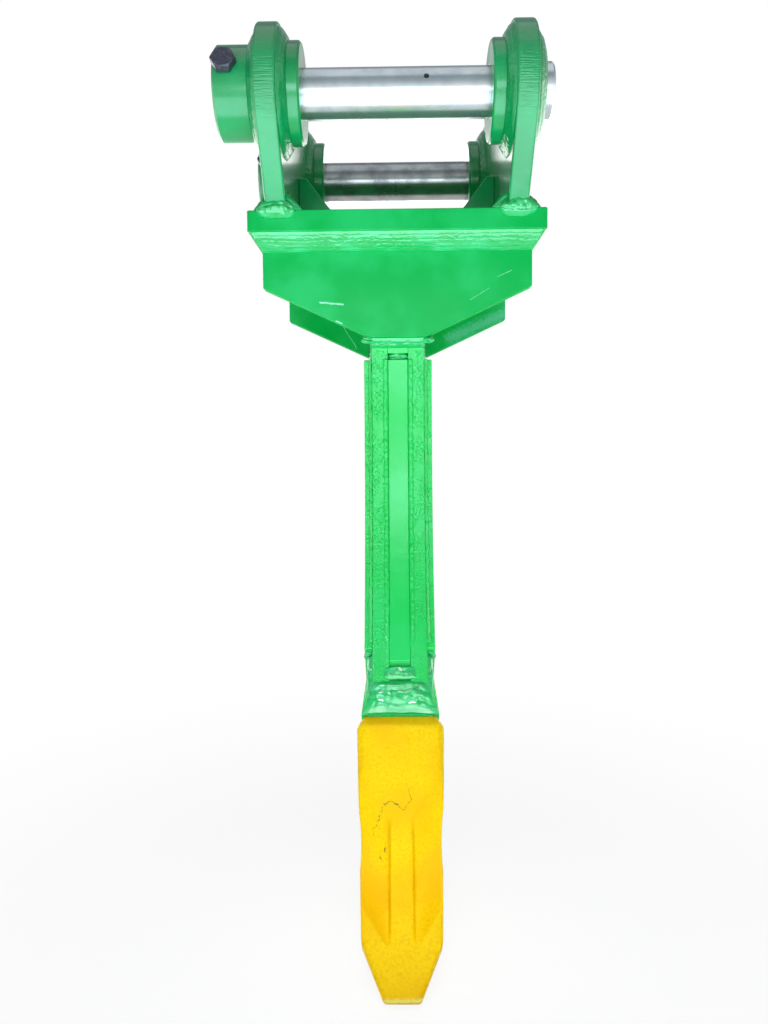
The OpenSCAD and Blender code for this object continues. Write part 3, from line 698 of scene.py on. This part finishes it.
def ear_weld(node, ear, material, seed):
    """Fillets along both faces of an ear, with a lump round each end of its foot."""
    low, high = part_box(node)
    ear_low, ear_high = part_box(ear)
    plate_low, plate_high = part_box("top_plate")
    side = 1 if ear_low.x > 0 else -1
    inner, outer = (ear_low.x, ear_high.x) if side > 0 else (ear_high.x, ear_low.x)
    leg_out = abs((high.x if side > 0 else low.x) - outer)
    leg_in = abs((low.x if side > 0 else high.x) - inner)
    z, up = plate_high.z, Vector((0, 0, 1))
    bead = Bead(passes=3, crown=0.4, ripple=0.25, pitch=5, rough=0.35, seed=seed)
    parts = []
    for x, way, leg in ((inner, -side, leg_in), (outer, side, leg_out)):
        start, end = Vector((x, plate_low.y, z)), Vector((x, plate_high.y, z))
        rows = straight(start, end, Vector((way, 0, 0)), up, leg, leg)
        parts.append(bead_mesh(rows, bead, FILLET_FULL * leg))
    foot_r = plate_low.y - low.y
    half = Vector((abs(outer - inner) / 2 + FOOT_REACH * leg_out, foot_r, FOOT_BULGE * foot_r))
    for y, out in ((plate_low.y, -1), (plate_high.y, 1)):
        middle = Vector(((inner + outer) / 2, y, z))
        parts.append(end_bead(middle, half, Vector((0, out, 0)), seed + out))
    weld_object(node, parts, material)


def shank_weld(node, gusset, facing, material, seed):
    """Upright fillets up the sides of the shank, and the bead under the gusset toe with its lumps."""
    gusset_low, gusset_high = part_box(gusset)
    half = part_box("shank_side_plate_right")[1].x
    y = gusset_high.y if facing < 0 else gusset_low.y
    bottom, top = gusset_low.z, gusset_high.z
    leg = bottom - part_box(node)[0].z
    bead = Bead(passes=2, crown=0.5, ripple=0.35, pitch=6, rough=0.5, seed=seed)
    parts = []
    for side in (-1, 1):
        start, end = Vector((side * half, y, bottom)), Vector((side * half, y, top))
        rows = straight(start, end, Vector((side, 0, 0)), Vector((0, -facing, 0)), leg, leg)
        parts.append(bead_mesh(rows, bead, FILLET_FULL * leg))
    start, end = Vector((-half, y, bottom)), Vector((half, y, bottom))
    rows = straight(start, end, Vector((0, facing, 0)), Vector((0, 0, -1)), leg, leg)
    parts.append(bead_mesh(rows, bead, TOE_FULL * leg))
    parts.append(slot_plug(facing, seed))
    for side in (-1, 1):
        x, z = side * (half + TOE_OUT * leg), bottom + TOE_UP * leg
        middle = Vector((x, y + facing * TOE_FORWARD * leg, z))
        parts.append(end_bead(middle, TOE_LUMP, Vector((0, facing, 0)), seed + side))
    weld_object(node, parts, material)


def slot_plug(facing, seed):
    """Weld metal deep in the slot between the spacer and the centre plate."""
    low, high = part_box("shank_spacer")
    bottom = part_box("shank_centre_plate")[1].z
    out = Vector((0, facing, 0))
    face = low.y if facing < 0 else high.y
    middle = Vector((0, face, (low.z + bottom) / 2)) - out * SLOT_RECESS
    half = Vector((high.x, SLOT_SHARE * (low.z - bottom), SLOT_BULGE))
    return end_bead(middle, half, out, seed + 0.5)


def shank_top_weld(node, material, seed):
    """Fillets between the shank's sides and the plate."""
    low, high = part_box(node)
    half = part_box("shank_side_plate_right")[1].x
    leg = high.x - half
    bead = Bead(passes=1, crown=0.5, ripple=0.3, pitch=5, rough=0.3, seed=seed)
    parts = []
    for side in (-1, 1):
        start, end = Vector((side * half, low.y, high.z)), Vector((side * half, high.y, high.z))
        rows = straight(start, end, Vector((side, 0, 0)), Vector((0, 0, -1)), leg, leg)
        parts.append(bead_mesh(rows, bead, FILLET_FULL * leg))
    weld_object(node, parts, material)


def tooth_point(x, front, up):
    """A point in the tooth's frame: across, forward of its axis and up from its seat, in mm."""
    return TOOTH_SEAT + (Vector((x, 0, 0)) + TOOTH_FRONT * front + TOOTH_UP * up) * MM


def cross_bead(joint, out, bead, bulge):
    """A weld across the shank, along the top, bottom and root of a joint in the tooth's frame."""
    top, bottom, root = joint["top"], joint["bottom"], joint["root"]
    count = round(2 * top[0] * MM / CROSS_STEP)
    rows = []
    for i in range(count + 1):
        u = -1 + 2 * i / count
        sag = JOINT_SAG * noise.noise((u * 2.5, bead.seed, 1.5))
        first = tooth_point(u * top[0], top[1], top[2] + sag)
        last = tooth_point(u * bottom[0], bottom[1], bottom[2] + sag)
        rows.append((first, last, tooth_point(u * root[0], root[1], root[2]), out, u * top[0] * MM))
    return rows_with_bulge(rows, bead, bulge * MM)


def cheek_run(side, front, out, bead):
    """The run up one edge of the adapter's cheek."""
    low = tooth_point(side * CHEEK_HALF, front, CHEEK_LOW)
    high = tooth_point(side * CHEEK_HALF, front, CHEEK_HIGH)
    rows = straight(low, high, Vector((side, 0, 0)), out, CHEEK_LEG_OUT, CHEEK_LEG_DEEP)
    return rows_with_bulge(rows, bead, CHEEK_BULGE)


def adapter_weld(node, material, seed):
    """Passes across the front and the back of the adapter joint, and runs down its four cheek edges."""
    front = Bead(passes=3, crown=1.5, ripple=0.3, pitch=14, rough=0.5, seed=seed, stray=0.9)
    back = Bead(passes=2, crown=1.0, ripple=0.5, pitch=7, rough=0.6, seed=seed + 1)
    run = Bead(passes=1, crown=0.8, ripple=0.5, pitch=6, rough=0.8, seed=seed + 2)
    parts = [
        cross_bead(FRONT_JOINT, TOOTH_FRONT, front, FRONT_BULGE),
        cross_bead(BACK_JOINT, -TOOTH_FRONT, back, BACK_BULGE),
    ]
    for side in (-1, 1):
        parts.append(cheek_run(side, CHEEK_FRONT, TOOTH_FRONT, run))
        parts.append(cheek_run(side, CHEEK_BACK, -TOOTH_FRONT, run))
        for deep, edge in ((1, BLOB_FRONT), (-1, BLOB_BACK)):
            middle = tooth_point(side * BLOB_HALF, edge, BLOB_UP)
            parts.append(end_bead(middle, BLOB, TOOTH_FRONT * deep, seed + side + 5 * deep))
    weld_object(node, parts, material)


def centre_plate_weld(node, material, seed):
    """The bead over the lower end of the centre plate."""
    bead = Bead(passes=2, crown=1.2, ripple=0.3, pitch=11, rough=0.5, seed=seed, stray=0.9)
    weld_object(node, [cross_bead(CENTRE_END, TOOTH_FRONT, bead, CENTRE_BULGE)], material)


def evaluated_copy(obj):
    """The mesh of an object with its modifiers applied."""
    graph = bpy.context.evaluated_depsgraph_get()
    return bpy.data.meshes.new_from_object(obj.evaluated_get(graph))


def rippled(node, material, voxel, depth, size, seed):
    """Shows a CAD node as uneven weld metal."""
    obj = object_from(merged_copy(node), node + "_rippled", material)
    remesh = obj.modifiers.new("remesh", "REMESH")
    remesh.mode = "VOXEL"
    remesh.voxel_size = voxel
    mesh = evaluated_copy(obj)
    obj.modifiers.clear()
    obj.data = mesh
    normals = [v.normal.copy() for v in mesh.vertices]
    for vertex, normal in zip(mesh.vertices, normals):
        place = vertex.co / size + Vector((0, 0, seed))
        vertex.co += normal * depth * (noise.noise(place) + FINE_SHARE * noise.noise(place * FINE_SCALE))
    mesh.materials.clear()
    mesh.materials.append(material)
    mesh.shade_smooth()
    stand_for(obj, GREEN_SLOT, node)


# Materials


class Shader:
    """A Principled material under construction."""

    def __init__(self, name, roughness, metallic=0.0, specular=0.5):
        self.material = bpy.data.materials.new(name)
        self.material.use_nodes = True
        self.tree = self.material.node_tree
        self.bsdf = self.tree.nodes["Principled BSDF"]
        self.bsdf.inputs["Roughness"].default_value = roughness
        self.bsdf.inputs["Metallic"].default_value = metallic
        self.bsdf.inputs["Specular IOR Level"].default_value = specular
        self.place = self.tree.nodes.new("ShaderNodeTexCoord").outputs["Object"]
        self.colour = None
        self.normal = None

    def noise_texture(self, size, detail=3, stretch=(1, 1, 1)):
        """Noise with features about size across, in metres, drawn out along an axis by stretch."""
        scale = self.tree.nodes.new("ShaderNodeVectorMath")
        scale.operation = "DIVIDE"
        scale.inputs[1].default_value = Vector(stretch) * size
        link(self.tree, self.place, scale.inputs[0])
        texture = self.tree.nodes.new("ShaderNodeTexNoise")
        texture.inputs["Scale"].default_value = 1
        texture.inputs["Detail"].default_value = detail
        link(self.tree, scale.outputs[0], texture.inputs["Vector"])
        return texture

    def noise(self, size, detail=3, stretch=(1, 1, 1)):
        return self.noise_texture(size, detail, stretch).outputs["Fac"]

    def wavering(self, size, push):
        """The place, pushed about in a pattern of that size, for lines that aren't straight."""
        half = Vector((0.5, 0.5, 0.5))
        centred = self.vector("SUBTRACT", self.noise_texture(size).outputs["Color"], half)
        shift = self.vector("MULTIPLY", centred, Vector((push, push, push)))
        return self.vector("ADD", self.place, shift)

    def ramp(self, fac, low, high):
        """0 at low, 1 at high, smooth between them and steady beyond."""
        node = self.tree.nodes.new("ShaderNodeMapRange")
        node.interpolation_type = "SMOOTHSTEP"
        node.inputs["From Min"].default_value = low
        node.inputs["From Max"].default_value = high
        link(self.tree, fac, node.inputs["Value"])
        return node.outputs["Result"]

    def blend(self, fac, first, second):
        """A colour between first and second, which are colours or sockets."""
        node = self.tree.nodes.new("ShaderNodeMix")
        node.data_type = "RGBA"
        link(self.tree, fac, node.inputs["Factor"])
        for socket, value in ((node.inputs[6], first), (node.inputs[7], second)):
            if isinstance(value, tuple):
                socket.default_value = (*value, 1)
            else:
                link(self.tree, value, socket)
        return node.outputs[2]

    def bump(self, height, depth, strength=1.0):
        """Adds a bump of that depth in metres over the ones before it."""
        node = self.tree.nodes.new("ShaderNodeBump")
        node.inputs["Strength"].default_value = strength
        node.inputs["Distance"].default_value = depth
        link(self.tree, height, node.inputs["Height"])
        if self.normal:
            link(self.tree, self.normal, node.inputs["Normal"])
        self.normal = node.outputs["Normal"]

    def mark_line(self, mark, push, broken):
        """1 on a ragged line from start to end, within reach of its plane, and 0 elsewhere."""
        start, end, width, normal, reach = mark
        run = end - start
        place = self.wavering(MARK_WAVE, push) if push else self.place
        offset = self.vector("SUBTRACT", place, start)
        depth = math_node(self.tree, "ABSOLUTE", self.vector("DOT_PRODUCT", offset, normal), 0)
        near = math_node(self.tree, "LESS_THAN", depth, reach)
        flat = self.vector("SUBTRACT", offset, self.vector("PROJECT", offset, normal))
        dot = self.vector("DOT_PRODUCT", flat, run)
        along = math_node(self.tree, "DIVIDE", dot, run.length_squared, clamp=True)
        nearest = self.tree.nodes.new("ShaderNodeVectorMath")
        nearest.operation = "SCALE"
        nearest.inputs[0].default_value = run
        link(self.tree, along, nearest.inputs["Scale"])
        gap = self.vector("LENGTH", self.vector("SUBTRACT", flat, nearest.outputs[0]))
        ragged = math_node(self.tree, "MULTIPLY", self.noise(MARK_GRAIN), broken * width)
        rim = math_node(self.tree, "ADD", gap, ragged)
        line = self.ramp(rim, MARK_END * width, MARK_FULL * width)
        return math_node(self.tree, "MULTIPLY", line, near)

    def add_marks(self, marks, colour, push=0, broken=MARK_RAGGED):
        """Draws marks: scratches, and also the painted sheen and the painted highlight; push is how far
        they stray from a line, and broken how ragged they are.
        """
        for mark in marks:
            self.colour = self.blend(self.mark_line(mark, push, broken), self.colour, colour)

    def vector(self, operation, first, second=None):
        """The result of a vector operation on sockets or fixed vectors."""
        node = self.tree.nodes.new("ShaderNodeVectorMath")
        node.operation = operation
        for socket, value in zip(node.inputs, (first, second)):
            if isinstance(value, Vector):
                socket.default_value = value
            elif value is not None:
                link(self.tree, value, socket)
        return node.outputs["Value" if operation in ("DOT_PRODUCT", "LENGTH") else "Vector"]

    def height_band(self, low, high, soft):
        """1 between two heights and 0 beyond them."""
        split = self.tree.nodes.new("ShaderNodeSeparateXYZ")
        link(self.tree, self.place, split.inputs[0])
        above = self.ramp(split.outputs["Z"], low - soft, low)
        below = self.ramp(split.outputs["Z"], high + soft, high)
        return math_node(self.tree, "MULTIPLY", above, below)

    def cut_edges(self, axis):
        """1 on the cut edges of a plate that lies across an axis, and 0 on its faces."""
        geometry = self.tree.nodes.new("ShaderNodeNewGeometry")
        split = self.tree.nodes.new("ShaderNodeSeparateXYZ")
        link(self.tree, geometry.outputs["Normal"], split.inputs[0])
        across = math_node(self.tree, "ABSOLUTE", split.outputs[axis], 0)
        return math_node(self.tree, "LESS_THAN", across, FACE_COSINE)

    def roughen(self, fac, low, high, matt=None):
        """Roughness between low and high, and higher where matt is 1."""
        node = self.tree.nodes.new("ShaderNodeMapRange")
        node.inputs["To Min"].default_value = low
        node.inputs["To Max"].default_value = high
        link(self.tree, fac, node.inputs["Value"])
        rough = node.outputs["Result"]
        if matt:
            rough = math_node(self.tree, "ADD", rough, math_node(self.tree, "MULTIPLY", matt, MATT_EXTRA))
        link(self.tree, rough, self.bsdf.inputs["Roughness"])

    def done(self):
        if self.colour:
            link(self.tree, self.colour, self.bsdf.inputs["Base Color"])
        if self.normal:
            link(self.tree, self.normal, self.bsdf.inputs["Normal"])
        return self.material


def paint(
    name, colour, worn, gloss=0.5, waves=0.25, cut=0.0, cut_band=EVERY_HEIGHT, grit=0.0,
    marks=(), scuffs=(), matt_edges=None,
):
    """Thick gloss paint with an uneven coat.

    waves, cut and grit are the depths of its waves, of flame-cut lines on plate edges and of weld
    spatter, in mm. matt_edges names the axis across a plate whose cut edges are matt.
    """
    shader = Shader(name, roughness=0.3, specular=gloss)
    patches = shader.ramp(shader.noise(60 * MM, detail=4), low=0.38, high=0.68)
    shader.colour = shader.blend(patches, colour, worn)
    # A pale patch that is partly dust and partly a painted sheen
    shader.add_marks(scuffs, DUSTY_SHEEN_GREEN)
    shader.add_marks(marks, SCRATCH_PALE)
    matt = shader.cut_edges(matt_edges) if matt_edges else None
    shader.roughen(shader.noise(25 * MM, detail=2), low=0.12, high=0.30, matt=matt)
    shader.bump(shader.noise(14 * MM, detail=2), depth=waves * MM, strength=0.5)
    shader.bump(shader.noise(1.6 * MM, detail=1), depth=0.04 * MM, strength=0.5)
    if cut:
        lines = shader.noise(1.5 * MM, detail=3, stretch=(12, 1, 1))
        band = shader.height_band(*cut_band, CUT_FADE)
        edges = math_node(shader.tree, "MULTIPLY", shader.cut_edges("X"), band)
        shader.bump(math_node(shader.tree, "MULTIPLY", lines, edges), depth=cut * MM, strength=0.8)
    if grit:
        grains = shader.noise(1.5 * MM, detail=2, stretch=(1, 1.6, 1.6))
        spots = shader.ramp(grains, low=0.48, high=0.74)
        patchy = shader.ramp(shader.noise(16 * MM, detail=2), low=0.30, high=0.60)
        shader.bump(math_node(shader.tree, "MULTIPLY", spots, patchy), depth=grit * MM, strength=0.8)
    return shader.done()


def head_paint(name, **details):
    return paint(name, HEAD_GREEN, HEAD_GREEN_WORN, gloss=0.1, **details)


# A darker copy of the head's paint, which is painted shade on the ears, bosses, ribs and ring welds
def ear_paint(name, **details):
    return paint(name, SHADED_EAR_GREEN, SHADED_EAR_GREEN_WORN, **details)


# A lighter copy of the head's paint, which is painted light on the shank
def shank_paint(name, **details):
    return paint(name, LIT_SHANK_GREEN, LIT_SHANK_GREEN_WORN, gloss=0.4, **details)


def weld_paint():
    """Paint over weld metal, paler in streaky patches."""
    shader = Shader("weld_paint", roughness=0.12, specular=0.9)
    patches = shader.ramp(shader.noise(9 * MM, detail=3, stretch=(3, 1, 1)), low=0.42, high=0.70)
    shader.colour = shader.blend(patches, WELD_GREEN, WELD_GREEN_WORN)
    shader.bump(shader.noise(2.5 * MM, detail=2), depth=0.15 * MM, strength=0.6)
    return shader.done()


def tooth_paint(marks, worn_tip_highlight):
    """Satin yellow over a sand casting, deeper in colour where the coat is thick and in the grain."""
    shader = Shader("tooth_paint", roughness=0.45, specular=0.08)
    patches = shader.ramp(shader.noise(45 * MM, detail=3), low=0.35, high=0.7)
    shader.colour = shader.blend(patches, TOOTH_YELLOW, TOOTH_ORANGE)
    grain = shader.ramp(shader.noise(2.2 * MM, detail=3), low=0.40, high=0.75)
    shader.colour = shader.blend(grain, shader.colour, TOOTH_GRAIN)
    # A painted highlight along the tooth's worn tip edge
    shader.add_marks(worn_tip_highlight, WORN_TIP_HIGHLIGHT_YELLOW, push=3 * MM)
    shader.add_marks(marks, SCRATCH_DARK, push=9 * MM, broken=1.9)
    shader.roughen(shader.noise(12 * MM, detail=3), low=0.34, high=0.52)
    shader.bump(shader.noise(7 * MM, detail=3), depth=0.35 * MM, strength=0.45)
    shader.bump(shader.noise(1.8 * MM, detail=3), depth=0.25 * MM, strength=0.55)
    return shader.done()


def pin_steel(name, bright, dull, marks=()):
    """Zinc-plated bar with fine lines round it from turning."""
    shader = Shader(name, roughness=0.22, metallic=0.85)
    streaks = shader.noise(1.2 * MM, detail=3, stretch=(1, 14, 14))
    clouds = shader.noise(18 * MM, detail=4)
    shader.colour = shader.blend(shader.ramp(clouds, low=0.35, high=0.75), bright, dull)
    shader.add_marks(marks, BOLT_DARK)
    shader.roughen(clouds, low=0.16, high=0.34)
    shader.bump(streaks, depth=0.012 * MM, strength=0.6)
    return shader.done()


def bolt_steel():
    """Dark steel with worn specks."""
    shader = Shader("bolt_steel", roughness=0.4, metallic=0.6)
    specks = shader.ramp(shader.noise(2.5 * MM, detail=4), low=0.45, high=0.75)
    shader.colour = shader.blend(specks, BOLT_DARK, BOLT_WORN)
    shader.bump(shader.noise(1.5 * MM, detail=2), depth=0.06 * MM, strength=0.5)
    return shader.done()


# Pieces


def add_tooth():
    """The tooth with the soft edges of a casting."""
    marks = marks_on(TOOTH_MARKS, tooth_point(*TOOTH_FACE_POINT), TOOTH_FACE, CURVE_REACH)
    worn_tip_highlight = marks_in_front(WORN_TIP_HIGHLIGHT, "tooth", TIP_REACH)
    obj = object_from(merged_copy("tooth"), "tooth_casting", tooth_paint(marks, worn_tip_highlight))
    remesh = obj.modifiers.new("remesh", "REMESH")
    remesh.mode = "VOXEL"
    remesh.voxel_size = TOOTH_VOXEL
    remesh.use_smooth_shade = True
    smooth = obj.modifiers.new("smooth", "SMOOTH")
    smooth.factor = 0.5
    smooth.iterations = TOOTH_SMOOTHING
    stand_for(obj, "tooth_paint", "tooth")


def add_head():
    front_marks = marks_in_front(FRONT_GUSSET_MARKS, "front_gusset", PLATE_REACH)
    rear_marks = marks_in_front(REAR_GUSSET_MARKS, "rear_gusset", PLATE_REACH)
    rear_scuffs = marks_in_front(REAR_GUSSET_DUST_AND_SHEEN, "rear_gusset", PLATE_REACH)
    front_green = head_paint("front_gusset_paint", marks=front_marks, matt_edges="Y")
    rear_green = head_paint("rear_gusset_paint", marks=rear_marks, scuffs=rear_scuffs, matt_edges="Y")
    rounded("front_gusset", front_green, GUSSET_EDGE)
    rounded("rear_gusset", rear_green, GUSSET_EDGE)
    rounded("top_plate", head_paint("plate_paint"), PLATE_EDGE)


def add_ears(shaded_boss_green):
    cut_green = ear_paint("cut_paint", gloss=0.7, cut=1.1, cut_band=LOBE_CUT)
    for side in ("left", "right"):
        rounded("ear_" + side, cut_green, EAR_EDGE)
        rounded("ear_rib_" + side, shaded_boss_green, RIB_EDGE)
        for end in ("front", "rear"):
            rounded(f"boss_{end}_{side}", shaded_boss_green, BOSS_EDGE)


def add_shank():
    green = shank_paint("shank_paint", waves=0.4)
    cut_green = shank_paint("shank_cut_paint", cut=0.3, grit=0.6)
    for side, seed in (("left", 4), ("right", 5)):
        rounded("shank_side_plate_" + side, cut_green, SIDE_PLATE_EDGE)
        rounded("shank_doubler_" + side, cut_green, DOUBLER_EDGE)
        seam, joint = "shank_seam_weld_" + side, "doubler_weld_" + side
        rippled(seam, green, voxel=0.6 * MM, depth=0.6 * MM, size=4 * MM, seed=seed)
        rippled(joint, green, voxel=0.7 * MM, depth=0.7 * MM, size=5 * MM, seed=seed)
    rounded("shank_centre_plate", green, CENTRE_PLATE_EDGE)
    rounded("tooth_adapter", green, ADAPTER_EDGE)
    keep_node("shank_spacer", green)


def add_welds(material, ring_material):
    gusset_weld("gusset_weld_front", -1, material, 1.0)
    gusset_weld("gusset_weld_rear", 1, material, 2.0)
    seed = 3.0
    for end in ("front", "rear"):
        for side in ("left", "right"):
            name = f"{end}_{side}"
            boss_weld("boss_weld_" + name, "boss_" + name, "ear_" + side, ring_material, seed)
            seed += 1
    ear_weld("ear_weld_left", "ear_left", material, 8.0)
    ear_weld("ear_weld_right", "ear_right", material, 9.0)
    shank_weld("shank_weld_front", "front_gusset", -1, material, 10.0)
    shank_weld("shank_weld_rear", "rear_gusset", 1, material, 11.0)
    shank_top_weld("shank_weld_top", material, 12.0)
    centre_plate_weld("centre_plate_weld", material, 13.0)
    adapter_weld("adapter_weld", material, 14.0)


def add_fittings():
    steel = pin_steel("pin_steel", PIN_SILVER, PIN_GREY)
    rear_marks = marks_in_front(REAR_PIN_MARKS, "rear_pin", CURVE_REACH)
    # Darker steel for the rear pin: partly an older pin, partly painted shade
    old_shaded_steel = pin_steel("old_shaded_pin_steel", OLD_SHADED_PIN_SILVER, OLD_SHADED_PIN_GREY, rear_marks)
    dark = bolt_steel()
    keep_node("front_pin", steel)
    keep_node("rear_pin", old_shaded_steel)
    for end in ("front", "rear"):
        keep_node(end + "_grease_nipple", steel)
        keep_node(end + "_pin_bolt", dark)
        keep_node(end + "_pin_nut", dark)
    keep_node("tooth_pin", steel)
    keep_node("tooth_pin_lock", dark)


def add_lamps():
    """Soft boxes, with a bluish one on the ground and narrow ones for the shank and the tooth."""
    ground = cad_box[0].z + GROUND_LAMP_RISE
    add_light("front_box", place=(0, -1.6, -0.36), aim=(0, 0, -0.36), size=(3.2, 0.8), power=2)
    add_light(
        "window", place=(0, -0.9, -0.1), aim=(0, 0, -0.4), size=(0.5, 0.22), power=2, tint=GROUND_TINT,
    )
    add_light(
        "shank_box", place=(0, -1.5, -0.6), aim=(0, 0, -0.6), size=(1.2, 0.5), power=0.4, spread=40,
    )
    add_light(
        "tooth_box", place=(0, -0.52, 0.5), aim=(0, -0.14, -0.72), size=(0.4, 0.15), power=0.2, spread=24,
    )
    add_light(
        "ground_box", place=(0, -0.95, ground), aim=(0, -0.94, 1), size=(2.4, 1.3), power=32,
        tint=GROUND_TINT,
    )
    add_light("back_box", place=(0, 2.2, 0.1), aim=(0, 0, -0.35), size=(2.4, 1.2), power=20)
    for name, side in (("left_box", -1), ("right_box", 1)):
        add_light(name, place=(1.6 * side, 1.1, -0.15), aim=(0, 0.1, -0.3), size=(2, 1.4), power=16)
    add_light("top_box", place=(0, -0.1, 1.7), aim=(0, 0.1, 0), size=(1.6, 1.6), power=5)


add_camera()
add_world()
add_floor()
add_lamps()
# The bosses, ribs and ring welds share the ears' darker green, which is painted shade
shaded_boss_green = ear_paint("boss_paint", gloss=0.65)
add_head()
add_ears(shaded_boss_green)
add_shank()
add_tooth()
add_welds(weld_paint(), shaded_boss_green)
add_fittings()
bpy.context.scene.view_settings.view_transform = "Standard"
